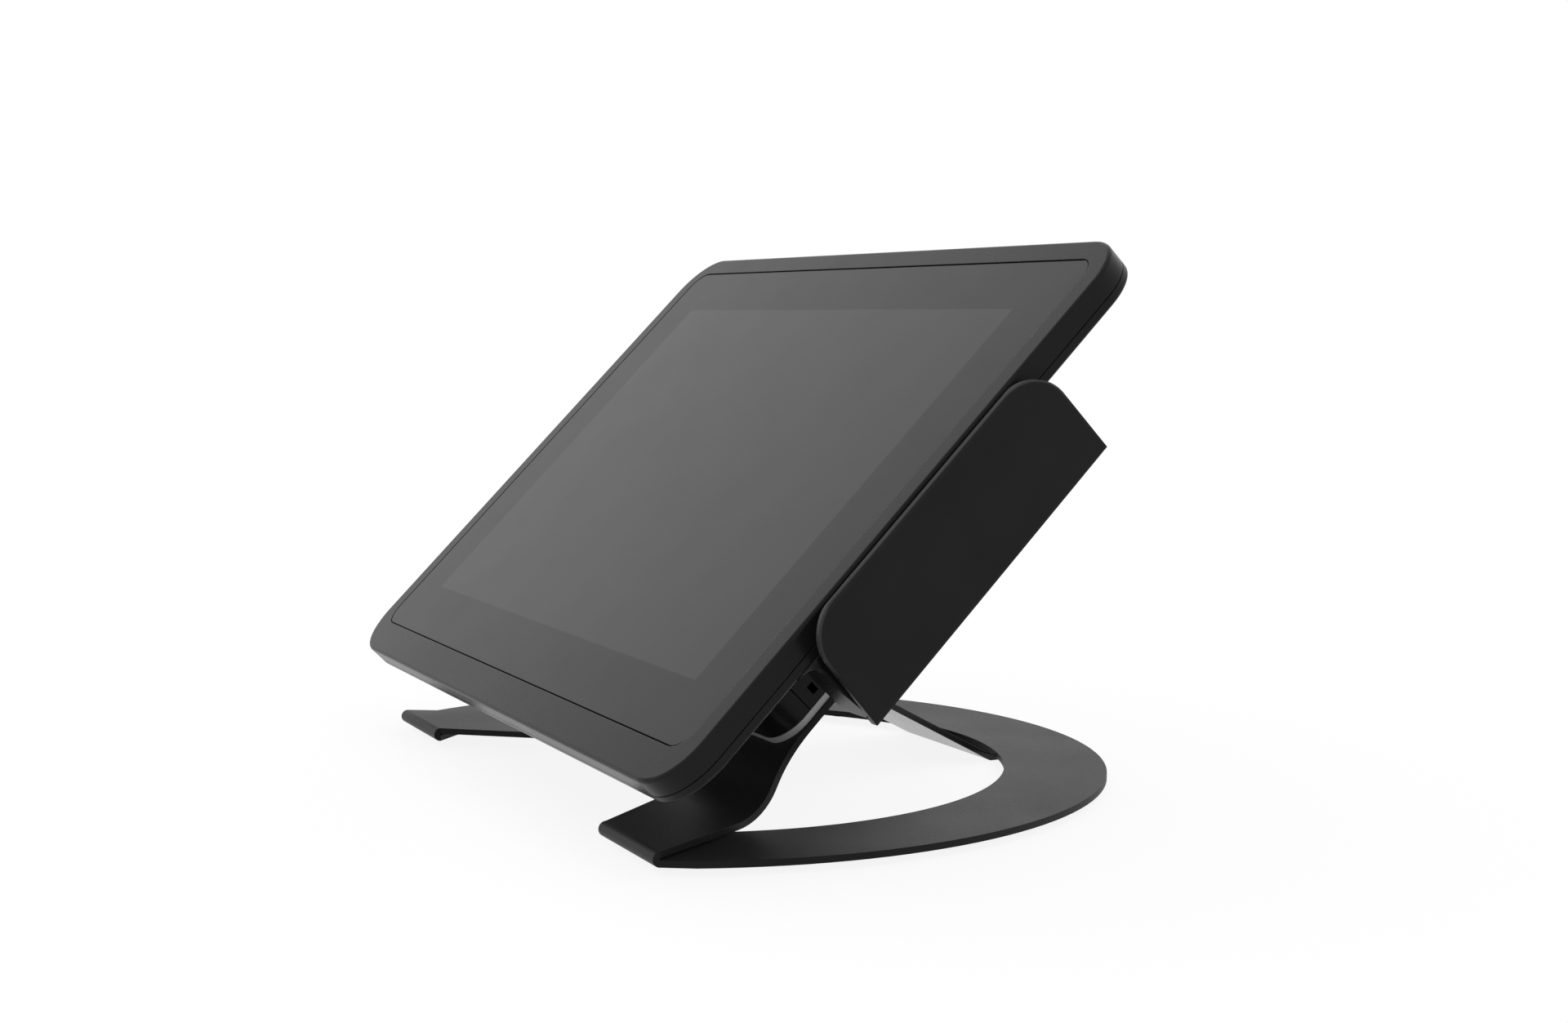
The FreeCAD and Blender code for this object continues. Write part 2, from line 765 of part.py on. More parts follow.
def build_rear_cover():
    rim = new_body("rim_body")
    inner = inset(HOUSING_OUTLINE, S.housing_wall)
    layer(rim, RIM_BACK, RIM_FLOOR, [BODY_OUTLINE])
    layer(rim, RIM_FLOOR, SEAM_BACK, [BODY_OUTLINE, inset(BODY_OUTLINE, S.rim_wall)])
    round_edges(rim, "back_edge", RIM_BACK, BODY_OUTLINE, S.edge_radius)
    housing = new_body("housing_body")
    layer(housing, HOUSING_FLOOR, RIM_FLOOR, [HOUSING_OUTLINE, inner])
    layer(housing, HOUSING_BACK, HOUSING_FLOOR, [HOUSING_OUTLINE])
    far = HOUSING_HALF + S.overrun
    below = span((-far, far), (S.housing_bottom - S.overrun, S.parting_line),
                 (HOUSING_BACK - S.overrun, RIM_BACK))
    end_wall = span((-HOUSING_INSIDE, HOUSING_INSIDE), (S.parting_line, END_WALL),
                    (HOUSING_BACK, RIM_BACK))
    solids = [rim, cut(housing, [below]), end_wall]
    window_top = S.housing_top - S.housing_wall - S.overrun
    holes = [span((-HOUSING_INSIDE + S.overrun, HOUSING_INSIDE - S.overrun),
                  (END_WALL, window_top), (RIM_BACK - S.overrun, RIM_FLOOR + S.overrun))]
    for u, v in pattern_places():
        solids.append(cylinder(u, v, HOUSING_FLOOR, S.mount_boss_radius, S.mount_boss_height))
        holes.append(cylinder(u, v, HOUSING_FLOOR, S.insert_radius + S.clearance,
                              S.mount_boss_height + S.overrun))
        holes.append(cylinder(u, v, HOUSING_BACK - S.overrun, S.mount_screw_radius + S.clearance,
                              S.housing_wall + S.overrun * 2))
    for v in button_post_places():
        solids.append(cylinder(-HOUSING_INSIDE, v, -S.button_depth, S.button_post_radius,
                               S.button_board_gap, (1, 0, 0)))
        holes.append(cylinder(-HOUSING_INSIDE + S.clearance, v, -S.button_depth, SMALL_BORE,
                              S.button_board_gap + S.overrun, (1, 0, 0)))
    for u, v in cover_screw_places():
        holes.append(cylinder(u, v, RIM_BACK - S.overrun, SMALL_BORE, S.rim_wall + S.overrun * 2))
        holes.append(cylinder(u, v, RIM_BACK - S.overrun, S.screw_head_radius + S.clearance,
                              S.screw_head_height + S.overrun))
    for u, v in reader_post_places():
        holes.append(cylinder(u, v, RIM_BACK - S.overrun, SMALL_BORE, S.rim_wall + S.overrun * 2))
    holes += grille_cuts() + rail_slots() + [port_window(), lock_slot(), button_hole()]
    return node(cut(fused(solids), holes), "rear_cover", HEAD)


def build_cover_screws():
    screws = [screw(u, v, RIM_BACK + S.screw_head_height, S.rim_wall - S.screw_head_height + S.cover_screw_reach
                    - S.clearance, S.screw_head_radius, S.screw_head_height)
              for u, v in cover_screw_places()]
    return node(group(screws), "cover_screws", HEAD)


# Mounting between housing and stand

def build_mount_inserts():
    inserts = []
    for u, v in pattern_places():
        outside = cylinder(u, v, HOUSING_FLOOR, S.insert_radius, S.insert_length)
        bore = cylinder(u, v, HOUSING_FLOOR - S.overrun, S.mount_screw_radius + S.clearance,
                        S.insert_length + S.overrun * 2)
        inserts.append(cut(outside, [bore]))
    return node(group(inserts), "mount_inserts", HEAD)


def pattern_bores(back, front):
    bore = S.mount_screw_radius + S.clearance
    return [cylinder(u, v, back - S.overrun, bore, front - back + S.overrun * 2)
            for u, v in pattern_places()]


def build_mount_plate():
    body = new_body("plate_body")
    layer(body, PLATE_BACK, HOUSING_BACK, [HOUSING_OUTLINE])
    return node(cut(body, pattern_bores(PLATE_BACK, HOUSING_BACK)), "mount_plate", HEAD)


def build_mount_screws():
    screws = [screw(u, v, LEG_BACK, S.mount_screw_reach, S.mount_screw_head_radius,
                    S.mount_screw_head_height, radius=S.mount_screw_radius,
                    socket=S.mount_screw_socket, depth=S.mount_screw_socket_depth)
              for u, v in pattern_places()]
    return node(group(screws), "mount_screws", HEAD)


# Electronics inside the housing

def build_main_board():
    half = BOARD_HALF
    slab = span((-half, half), (BOARD_BOTTOM, BOARD_TOP), (BOARD_BACK, BOARD_FRONT))
    chip_half = S.chip_size / 2
    chip = span((S.cooler_place - chip_half, S.cooler_place + chip_half),
                (S.cooler_raise - chip_half, S.cooler_raise + chip_half),
                (BOARD_BACK - S.chip_height, BOARD_BACK))
    solids = [slab, chip, memory_socket(), cell_holder()]
    row = S.cooler_place - S.capacitor_pitch * 2
    for index in range(4):
        solids.append(cylinder(row + index * S.capacitor_pitch, S.cell_raise - S.capacitor_radius * 2,
                               BOARD_BACK - S.capacitor_height, S.capacitor_radius, S.capacitor_height))
    for index in range(2):
        left = BOARD_HALF - S.coil_size * 2
        low = S.cell_raise - index * S.coil_size * 1.5
        solids.append(box(left, low, BOARD_BACK - S.coil_height, S.coil_size, S.coil_size, S.coil_height))
    holes = [cylinder(u, v, BOARD_BACK - S.overrun, SMALL_BORE, S.board_thickness + S.overrun * 2)
             for u, v in board_screw_places()]
    return node(cut(fused(solids), holes), "main_board", HEAD)


def memory_socket():
    half = S.memory_length / 2 + S.memory_thickness
    low = S.memory_raise - S.memory_socket_height
    back = BOARD_BACK - S.memory_rise - S.memory_thickness * 2
    block = span((S.memory_place - half, S.memory_place + half), (low, S.memory_raise), (back, BOARD_BACK))
    gap = S.clearance
    half_module = S.memory_length / 2 + gap
    groove = span((S.memory_place - half_module, S.memory_place + half_module),
                  (S.memory_raise - S.memory_socket_height / 2 - gap, S.memory_raise + S.overrun),
                  (BOARD_BACK - S.memory_rise - S.memory_thickness - gap, BOARD_BACK - S.memory_rise + gap))
    return cut(block, [groove])


def cell_holder():
    outer = S.cell_radius + S.clearance + S.cell_holder_wall
    ring = cylinder(S.cell_place, S.cell_raise, BOARD_BACK - S.cell_thickness, outer, S.cell_thickness)
    hole = cylinder(S.cell_place, S.cell_raise, BOARD_BACK - S.cell_thickness - S.overrun,
                    S.cell_radius + S.clearance, S.cell_thickness + S.overrun)
    return cut(ring, [hole])


def build_coin_cell():
    cell = cylinder(S.cell_place, S.cell_raise, BOARD_BACK - S.cell_thickness, S.cell_radius, S.cell_thickness)
    return node(group([cell]), "coin_cell", HEAD)


def build_board_screws():
    screws = [screw(u, v, BOARD_BACK, S.board_thickness + S.board_screw_reach - S.clearance,
                    S.screw_head_radius, S.screw_head_height)
              for u, v in board_screw_places()]
    return node(group(screws), "board_screws", HEAD)


def build_processor_cooler():
    half = S.cooler_size / 2
    front = BOARD_BACK - S.chip_height
    sides = (S.cooler_raise - half, S.cooler_raise + half)
    base = span((S.cooler_place - half, S.cooler_place + half), sides, (front - S.cooler_base, front))
    pitch = (S.cooler_size - S.fin_thickness) / (FIN_COUNT - 1)
    fins = []
    for index in range(FIN_COUNT):
        left = S.cooler_place - half + index * pitch
        fins.append(span((left, left + S.fin_thickness), sides, (front - S.cooler_height, front - S.cooler_base)))
    return node(fused([base] + fins), "processor_cooler", HEAD)


def build_memory_module():
    half = S.memory_length / 2
    front = BOARD_BACK - S.memory_rise
    low = S.memory_raise - S.memory_socket_height / 2
    slab = span((S.memory_place - half, S.memory_place + half), (low, low + S.memory_height),
                (front - S.memory_thickness, front))
    chips = []
    chip_width = S.memory_length / 6
    for index in range(4):
        left = S.memory_place - half + chip_width / 2 + index * chip_width * 1.35
        chips.append(box(left, S.memory_raise + S.memory_socket_height / 2,
                         front - S.memory_thickness - S.memory_chip_height,
                         chip_width, chip_width, S.memory_chip_height))
    return node(fused([slab] + chips), "memory_module", HEAD)


# Ports

def usb_places():
    return [S.usb_place, S.usb_place + S.usb_pitch]


def build_port_bracket():
    half = S.bracket_width / 2
    front = BOARD_FRONT + S.clearance * 2
    plate = span((-half, half), (END_WALL, END_WALL + S.bracket_thickness), (front - S.bracket_height, front))
    across = (END_WALL - S.overrun, END_WALL + S.bracket_thickness + S.overrun)
    gap = S.clearance
    holes = [span((S.inlet_place - S.inlet_width / 2 - gap, S.inlet_place + S.inlet_width / 2 + gap),
                  across, (BOARD_BACK - S.inlet_height - gap, BOARD_BACK + gap))]
    for place in usb_places():
        holes.append(span((place - S.usb_width / 2 - gap, place + S.usb_width / 2 + gap),
                          across, (BOARD_BACK - S.usb_height - gap, BOARD_BACK + gap)))
    return node(cut(plate, holes), "port_bracket", HEAD)


def build_power_inlet():
    half = S.inlet_width / 2
    block = span((S.inlet_place - half, S.inlet_place + half), (END_WALL, END_WALL + S.inlet_length),
                 (BOARD_BACK - S.inlet_height, BOARD_BACK))
    middle = BOARD_BACK - S.inlet_height / 2
    depth = S.inlet_length - S.inlet_pin * 3
    bore = cylinder(S.inlet_place, END_WALL - S.overrun, middle, S.inlet_bore, depth + S.overrun, (0, 1, 0))
    pin = cylinder(S.inlet_place, END_WALL + S.inlet_pin, middle, S.inlet_pin, depth, (0, 1, 0))
    return node(fused([cut(block, [bore]), pin]), "power_inlet", HEAD)


def usb_port(place):
    half = S.usb_width / 2
    back = BOARD_BACK - S.usb_height
    block = span((place - half, place + half), (END_WALL, END_WALL + S.usb_length), (back, BOARD_BACK))
    mouth = span((place - half + S.usb_shell, place + half - S.usb_shell),
                 (END_WALL - S.overrun, END_WALL + S.usb_length - S.usb_shell * 3),
                 (back + S.usb_shell, BOARD_BACK - S.usb_shell))
    middle = BOARD_BACK - S.usb_height / 2
    tongue = span((place - half + S.usb_shell * 2, place + half - S.usb_shell * 2),
                  (END_WALL + S.usb_shell, END_WALL + S.usb_length - S.usb_shell * 2),
                  (middle - S.usb_tongue / 2, middle + S.usb_tongue / 2))
    return fused([cut(block, [mouth]), tongue])


def build_usb_ports():
    return node(group([usb_port(place) for place in usb_places()]), "usb_ports", HEAD)


# Sound and radio

def build_speakers():
    top = S.housing_top - S.housing_wall
    speakers = []
    for side in (-1, 1):
        middle = side * SPEAKER_PLACE
        half = S.speaker_length / 2
        case = span((middle - half, middle + half), (top - S.speaker_height, top),
                    (-S.speaker_depth - S.speaker_width / 2, -S.speaker_depth + S.speaker_width / 2))
        cone = cylinder(middle, top - S.speaker_cone_depth, -S.speaker_depth, S.speaker_cone_radius,
                        S.speaker_cone_depth + S.overrun, (0, 1, 0))
        speakers.append(cut(case, [cone]))
    return node(group(speakers), "speakers", HEAD)


def build_antennas():
    back = -S.speaker_depth - S.antenna_width / 2
    left = box(-HOUSING_INSIDE, -S.antenna_foot, back, S.antenna_thickness, S.antenna_length, S.antenna_width)
    right = box(HOUSING_INSIDE - S.antenna_thickness, -S.antenna_foot, back,
                S.antenna_thickness, S.antenna_length, S.antenna_width)
    return node(group([left, right]), "antennas", HEAD)


# Power button on the left wall

FLANGE_FRONT = -HOUSING_INSIDE + S.clearance
FLANGE_BACK = FLANGE_FRONT + S.button_flange
SWITCH_TOP = FLANGE_BACK + S.button_travel + S.clearance
BUTTON_BOARD = -HOUSING_INSIDE + S.button_board_gap


def build_power_button():
    half_v = S.button_length / 2
    half_w = S.button_height / 2
    cap = span((-HOUSING_HALF - S.button_rise, FLANGE_FRONT),
               (S.button_raise - half_v, S.button_raise + half_v),
               (-S.button_depth - half_w, -S.button_depth + half_w))
    margin = S.button_flange_margin
    flange = span((FLANGE_FRONT, FLANGE_BACK),
                  (S.button_raise - half_v - margin, S.button_raise + half_v + margin),
                  (-S.button_depth - half_w - margin, -S.button_depth + half_w + margin))
    return node(fused([cap, flange]), "power_button", HEAD)


def build_switch_plunger():
    reach = SWITCH_TOP - FLANGE_BACK + S.plunger_reach
    pin = cylinder(FLANGE_BACK, S.button_raise, -S.button_depth, S.plunger_radius, reach, (1, 0, 0))
    return node(group([pin]), "switch_plunger", HEAD)


def build_button_board():
    half_v = S.button_board_length / 2
    half_w = S.button_board_height / 2
    slab = span((BUTTON_BOARD, BUTTON_BOARD + S.button_board_thickness),
                (S.button_raise - half_v, S.button_raise + half_v),
                (-S.button_depth - half_w, -S.button_depth + half_w))
    half = S.switch_size / 2
    switch = span((SWITCH_TOP, BUTTON_BOARD), (S.button_raise - half, S.button_raise + half),
                  (-S.button_depth - half, -S.button_depth + half))
    well = cylinder(SWITCH_TOP - S.overrun, S.button_raise, -S.button_depth, S.plunger_radius + S.clearance,
                    S.overrun + S.plunger_reach + S.button_travel + S.clearance, (1, 0, 0))
    holes = [well]
    for v in button_post_places():
        holes.append(cylinder(BUTTON_BOARD - S.overrun, v, -S.button_depth, SMALL_BORE,
                              S.button_board_thickness + S.overrun * 2, (1, 0, 0)))
    return node(cut(fused([slab, switch]), holes), "button_board", HEAD)


def build_button_screws():
    screws = []
    seat = BUTTON_BOARD + S.button_board_thickness
    reach = S.button_board_thickness + S.button_board_gap - S.clearance * 2
    for v in button_post_places():
        shank = cylinder(seat, v, -S.button_depth, S.screw_radius, reach, (-1, 0, 0))
        head = cylinder(seat, v, -S.button_depth, S.screw_head_radius, S.screw_head_height, (1, 0, 0))
        screws.append(fused([shank, head]))
    return node(group(screws), "button_screws", HEAD)


# Cable cover, which slides off downwards

def build_cable_cover():
    body = new_body("cap_body")
    back = HOUSING_BACK + S.clearance
    front = RIM_BACK - S.clearance
    inner = inset(HOUSING_OUTLINE, S.cable_cover_wall)
    layer(body, back + S.cable_cover_wall, front, [HOUSING_OUTLINE, inner])
    layer(body, back, back + S.cable_cover_wall, [HOUSING_OUTLINE])
    far = HOUSING_HALF + S.overrun
    top = S.parting_line - S.clearance
    keep = span((-far, far), (S.housing_bottom - S.overrun, top), (back - S.overrun, front + S.overrun))
    half = S.cable_notch_width / 2
    middle = (back + front) / 2
    notch = span((-half, half),
                 (S.housing_bottom - S.overrun, S.housing_bottom + S.cable_cover_wall + S.overrun),
                 (middle - S.cable_notch_height / 2, middle + S.cable_notch_height / 2))
    rails = []
    outer = HOUSING_INSIDE - S.clearance
    wall_face = HOUSING_HALF - S.cable_cover_wall
    depth = (-S.rail_depth - S.rail_height, -S.rail_depth)
    low = S.housing_bottom + S.housing_corner
    for side in (-1, 1):
        limits = sorted((side * (outer - S.rail_width), side * outer), key=float)
        roots = sorted((side * (outer - S.rail_width), side * wall_face), key=float)
        rails.append(span(limits, (low, S.parting_line + S.rail_reach), depth))
        rails.append(span(roots, (low, top), depth))
    return node(fused([cut(common(body, keep), [notch])] + rails), "cable_cover", HEAD)


# Card reader

WING_FRONT = BODY_HALF + S.slot_mouth + S.wing_wall
WING_BACK = WING_FRONT - S.wing_lean


def section_face(edges):
    return Part.Face(Part.Wire(Part.__sortEdges__(edges)))


def line(first, second):
    return Part.LineSegment(vector(*first), vector(*second)).toShape()


def wing_section(low):
    """Closed section of the wing and the slot's floor, in the plane v = low."""
    tip = S.wing_rise - S.wing_wall / 2
    floor = READER_BACK + S.slot_floor
    overlap = BODY_HALF - S.slot_floor_width / 3
    inner_front = WING_FRONT - S.wing_wall
    inner_back = BODY_HALF + S.slot_floor_width
    points = [
        (WING_FRONT, low, tip),
        (WING_BACK, low, READER_BACK),
        (overlap, low, READER_BACK),
        (overlap, low, floor),
        (inner_back, low, floor),
        (inner_front, low, tip),
    ]
    edges = [line(points[index], points[index + 1]) for index in range(len(points) - 1)]
    crown = vector(WING_FRONT - S.wing_wall / 2, low, S.wing_rise)
    edges.append(Part.Arc(vector(*points[-1]), crown, vector(*points[0])).toShape())
    return section_face(edges)


def block_section(low):
    """Closed section of the block with the reader's electronics, in the plane v = low."""
    face = BODY_HALF - S.reader_inset
    points = [
        (BODY_HALF, low, READER_BACK + S.slot_floor),
        (BODY_HALF, low, READER_BACK),
        (READER_LEFT, low, READER_BACK),
        (READER_LEFT, low, RIM_BACK),
        (face, low, RIM_BACK),
    ]
    edges = [line(points[index], points[index + 1]) for index in range(len(points) - 1)]
    hollow = vector(BODY_HALF - S.slot_hollow, low, -S.slot_hollow_depth)
    edges.append(Part.Arc(vector(*points[-1]), hollow, vector(*points[0])).toShape())
    return section_face(edges)


def wing_side():
    """Side view of the wing, as a prism along u; it has two round front corners and flares to the back."""
    left = READER_LEFT
    low, high = S.wing_bottom, S.wing_top
    front, back = S.wing_rise, READER_BACK
    r = S.wing_corner
    r_low = S.wing_low_corner
    low_back, high_back = low - S.wing_flare, high + S.wing_flare
    turn = math.sqrt(0.5)
    lower_mid = vector(left, low + r_low - float(r_low) * turn, front - r_low + float(r_low) * turn)
    upper_mid = vector(left, high - r + float(r) * turn, front - r + float(r) * turn)
    edges = [
        line((left, low_back, back), (left, high_back, back)),
        line((left, high_back, back), (left, high, front - r)),
        Part.Arc(vector(left, high, front - r), upper_mid, vector(left, high - r, front)).toShape(),
        line((left, high - r, front), (left, low + r_low, front)),
        Part.Arc(vector(left, low + r_low, front), lower_mid, vector(left, low, front - r_low)).toShape(),
        line((left, low, front - r_low), (left, low_back, back)),
    ]
    return section_face(edges).extrude(vector(WING_FRONT - left + S.overrun, 0, 0))


def block_side():
    """Side view of the block, as a prism along u, with the hollow fairing at its foot."""
    left = READER_LEFT
    low, high = S.wing_bottom, S.wing_top
    r = float(S.fairing_radius)
    centre_v = float(low) - r
    centre_w = float(RIM_BACK) - r
    turn = math.sqrt(0.5)
    hollow = vector(left, centre_v + r * turn, centre_w + r * turn)
    edges = [
        line((left, low, READER_BACK), (left, high, READER_BACK)),
        line((left, high, READER_BACK), (left, high, RIM_BACK)),
        line((left, high, RIM_BACK), (left, centre_v, RIM_BACK)),
        Part.Arc(vector(left, centre_v, RIM_BACK), hollow, vector(left, low, centre_w)).toShape(),
        line((left, low, centre_w), (left, low, READER_BACK)),
    ]
    return section_face(edges).extrude(vector(S.reader_width + S.overrun, 0, 0))


def solid_box(u, v, w):
    """A plain box shape from three pairs of limits."""
    corner = vector(u[0], v[0], w[0])
    return Part.makeBox(float(u[1] - u[0]), float(v[1] - v[0]), float(w[1] - w[0]), corner)


def solid_cylinder(u, v, w, radius, length, direction=(0, 0, 1)):
    return Part.makeCylinder(float(radius), float(length), vector(u, v, w), vector(*direction))


def build_reader_housing():
    low = S.wing_bottom - S.fairing_radius
    length = vector(0, S.wing_top + S.wing_flare - low, 0)
    wing = wing_section(low).extrude(length).common(wing_side())
    block = block_section(low).extrude(length).common(block_side())
    chamber = solid_box((CHAMBER_LEFT, CHAMBER_RIGHT),
                        (S.wing_bottom + S.reader_wall, S.wing_top - S.reader_wall),
                        (READER_BACK - S.overrun, CHAMBER_FRONT))
    window = solid_box((CHAMBER_RIGHT - S.overrun, BODY_HALF),
                       (-S.head_length / 2 - S.clearance, S.head_length / 2 + S.clearance),
                       (-S.head_depth - S.head_height / 2 - S.clearance,
                        -S.head_depth + S.head_height / 2 + S.clearance))
    shape = wing.fuse(block).cut(chamber).cut(window)
    for u, v in reader_post_places():
        post = solid_cylinder(u, v, LID_FRONT, S.reader_post_radius, CHAMBER_FRONT - LID_FRONT)
        shape = shape.fuse(post)
        bore = S.reader_screw_reach + S.clearance
        shape = shape.cut(solid_cylinder(u, v, LID_FRONT - S.overrun, SMALL_BORE, bore + S.overrun))
        shape = shape.cut(solid_cylinder(u, v, RIM_BACK - bore, SMALL_BORE, bore + S.overrun))
    for side in (-1, 1):
        place = side * (S.spring_length / 2 - S.spring_post_margin)
        post = solid_cylinder(SPRING_SEAT, place, -S.head_depth, S.spring_post_radius,
                              CHAMBER_RIGHT - SPRING_SEAT, (1, 0, 0))
        shape = shape.fuse(post)
    return node(shaped("reader_shape", shape.removeSplitter()), "reader_housing", HEAD)


HEAD_TIP = BODY_HALF - S.slot_hollow + S.head_nose * 2
SPRING_SEAT = HEAD_TIP - S.head_reach


def build_read_head():
    """Magnetic head: a block with a round nose that stands a little into the slot."""
    half_v = S.head_length / 2
    back, front = -S.head_depth - S.head_height / 2, -S.head_depth + S.head_height / 2
    shoulder = HEAD_TIP - S.head_nose
    edges = [
        line((shoulder, -half_v, back), (SPRING_SEAT, -half_v, back)),
        line((SPRING_SEAT, -half_v, back), (SPRING_SEAT, -half_v, front)),
        line((SPRING_SEAT, -half_v, front), (shoulder, -half_v, front)),
        Part.Arc(vector(shoulder, -half_v, front), vector(HEAD_TIP, -half_v, -S.head_depth),
                 vector(shoulder, -half_v, back)).toShape(),
    ]
    shape = section_face(edges).extrude(vector(0, S.head_length, 0))
    return node(shaped("head_shape", shape), "read_head", HEAD)


def build_head_spring():
    half_v = S.spring_length / 2
    strip = span((SPRING_SEAT - S.spring_thickness, SPRING_SEAT), (-half_v, half_v),
                 (-S.head_depth - S.spring_height / 2, -S.head_depth + S.spring_height / 2))
    return node(group([strip]), "head_spring", HEAD)


def build_reader_lid():
    low, high = S.wing_bottom + S.reader_wall, S.wing_top - S.reader_wall
    plate = span((CHAMBER_LEFT + S.clearance, CHAMBER_RIGHT - S.clearance),
                 (low + S.clearance, high - S.clearance), (READER_BACK, LID_FRONT))
    holes = [cylinder(u, v, READER_BACK - S.overrun, SMALL_BORE, S.reader_lid_thickness + S.overrun * 2)
             for u, v in reader_post_places()]
    return node(cut(plate, holes), "reader_lid", HEAD)


def build_reader_board():
    half = S.reader_board_length / 2
    back = READER_BACK + S.reader_lid_thickness + S.clearance * 3
    slab = span((CHAMBER_LEFT, CHAMBER_LEFT + S.reader_board_thickness), (-half, half),
                (back, back + S.reader_board_height))
    chips = []
    face = CHAMBER_LEFT + S.reader_board_thickness
    for index in range(3):
        low = (index - 1) * S.reader_chip_size * 3 - S.reader_chip_size / 2
        chips.append(box(face, low, back + S.reader_chip_size, S.reader_chip_height,
                         S.reader_chip_size, S.reader_chip_size))
    return node(fused([slab] + chips), "reader_board", HEAD)


def build_reader_screws():
    screws = []
    for u, v in reader_post_places():
        screws.append(screw(u, v, READER_BACK, S.reader_lid_thickness + S.reader_screw_reach - S.clearance,
                            S.screw_head_radius, S.screw_head_height))
        screws.append(screw(u, v, RIM_FLOOR, S.rim_wall + S.reader_screw_reach - S.clearance,
                            S.screw_head_radius, S.flat_head_height, way=-1))
    return node(group(screws), "reader_screws", HEAD)


# Stand folded from steel sheet

RING_BOTTOM = S.pad_thickness
RING_TOP = RING_BOTTOM + S.sheet_thickness
HEM_BOTTOM = RING_TOP + S.hem_gap
HEM_TOP = HEM_BOTTOM + S.sheet_thickness
FOLD_RADIUS = S.sheet_thickness + S.hem_gap / 2
FOLD_LINE = -S.ring_front + FOLD_RADIUS
TILT = math.radians(float(S.tilt_angle))


def chord(radius, y):
    return math.sqrt(float(radius) ** 2 - float(y) ** 2)


def corner_arc(before, corner, after, radius):
    """Start, middle and end of the arc that rounds one corner of an outline."""
    first = (before - corner).normalize()
    second = (after - corner).normalize()
    half = first.getAngle(second) / 2
    reach = radius / math.tan(half)
    centre = corner + (first + second).normalize() * (radius / math.sin(half))
    middle = centre + (corner - centre).normalize() * radius
    return corner + first * reach, middle, corner + second * reach


def rounded_wire(points, radii):
    """A closed wire through points, each corner rounded by its radius or left sharp."""
    count = len(points)
    arcs = []
    for index, radius in enumerate(radii):
        corner = points[index]
        if float(radius) > 0:
            arcs.append(corner_arc(points[index - 1], corner, points[(index + 1) % count], float(radius)))
        else:
            arcs.append((corner, None, corner))
    edges = []
    for index, (start, middle, end) in enumerate(arcs):
        if middle is not None:
            edges.append(Part.Arc(start, middle, end).toShape())
        following = arcs[(index + 1) % count][0]
        if end.distanceToPoint(following) > float(S.clearance) / 1000:
            edges.append(Part.LineSegment(end, following).toShape())
    return Part.Wire(edges)


def leg_bend():
    """Where the flat sheet turns up into the incline, on the upper face of the sheet."""
    along_n = float(PLATE_BACK)
    corner_v = (float(HEM_TOP - S.face_height) - along_n * math.cos(TILT)) / math.sin(TILT)
    corner_y = -float(S.face_advance) + corner_v * math.cos(TILT) - along_n * math.sin(TILT)
    tangent = float(S.leg_bend_radius) * math.tan(TILT / 2)
    return corner_y - tangent, corner_v + tangent


def leg_length():
    """Length of the unrolled sheet from the front fold to the end of the bend."""
    bend_y, bend_v = leg_bend()
    return bend_y - float(FOLD_LINE) + (float(S.leg_bend_radius) + float(S.sheet_thickness) / 2) * TILT


def leg_outer(length):
    """Half width of the legs' outer edges; they meet the plate's sides a little past the bend."""
    tip = chord(S.ring_radius, S.ring_front)
    return tip - (tip - float(LEG_HALF)) * length / (leg_length() + float(S.leg_side_rise))


def leg_inner(length):
    """Half width of the legs' inner edges; they meet at the crotch."""
    tip = chord(S.ring_opening, S.ring_front)
    return tip - tip * length / (leg_length() + float(S.crotch_rise))


def ring_solid():
    """The flat ring, cut straight at the front where the hems begin."""
    blend = FOLD_LINE + S.hem_blend
    outer_x, inner_x = chord(S.ring_radius, blend), chord(S.ring_opening, blend)
    tip_out, tip_in = leg_outer(0), leg_inner(0)
    z = RING_BOTTOM
    outer = Part.Arc(vector(outer_x, blend, z), vector(0, S.ring_radius, z), vector(-outer_x, blend, z))
    inner = Part.Arc(vector(inner_x, blend, z), vector(0, S.ring_opening, z), vector(-inner_x, blend, z))
    edges = [outer.toShape(), inner.toShape()]
    for side in (-1, 1):
        edges.append(line((side * outer_x, blend, z), (side * tip_out, FOLD_LINE, z)))
        edges.append(line((side * tip_out, FOLD_LINE, z), (side * tip_in, FOLD_LINE, z)))
        edges.append(line((side * tip_in, FOLD_LINE, z), (side * inner_x, blend, z)))
    return section_face(edges).extrude(vector(0, 0, S.sheet_thickness))


def fold_solid(side):
    """The round front fold that joins the ring to the sheet above it."""
    tip_out, tip_in = leg_outer(0), leg_inner(0)
    start = min(side * tip_out, side * tip_in)
    middle = RING_TOP + S.hem_gap / 2
    round_part = Part.makeCylinder(float(FOLD_RADIUS), tip_out - tip_in, vector(start, FOLD_LINE, middle),
                                   vector(1, 0, 0))
    hollow = Part.makeCylinder(float(S.hem_gap / 2), tip_out - tip_in, vector(start, FOLD_LINE, middle),
                               vector(1, 0, 0))
    half = Part.makeBox(tip_out - tip_in, float(FOLD_RADIUS), float(FOLD_RADIUS * 2),
                        vector(start, FOLD_LINE - FOLD_RADIUS, RING_BOTTOM))
    return round_part.cut(hollow).common(half)


def flat_solid(side):
    """The flat upper sheet between the fold and the bend."""
    bend_y, bend_v = leg_bend()
    length = bend_y - float(FOLD_LINE)
    z = HEM_BOTTOM
    corners = [
        (side * leg_inner(0), FOLD_LINE, z),
        (side * leg_outer(0), FOLD_LINE, z),
        (side * leg_outer(length), bend_y, z),
        (side * leg_inner(length), bend_y, z),
    ]
    edges = [line(corners[index], corners[(index + 1) % 4]) for index in range(4)]
    return section_face(edges).extrude(vector(0, 0, S.sheet_thickness))


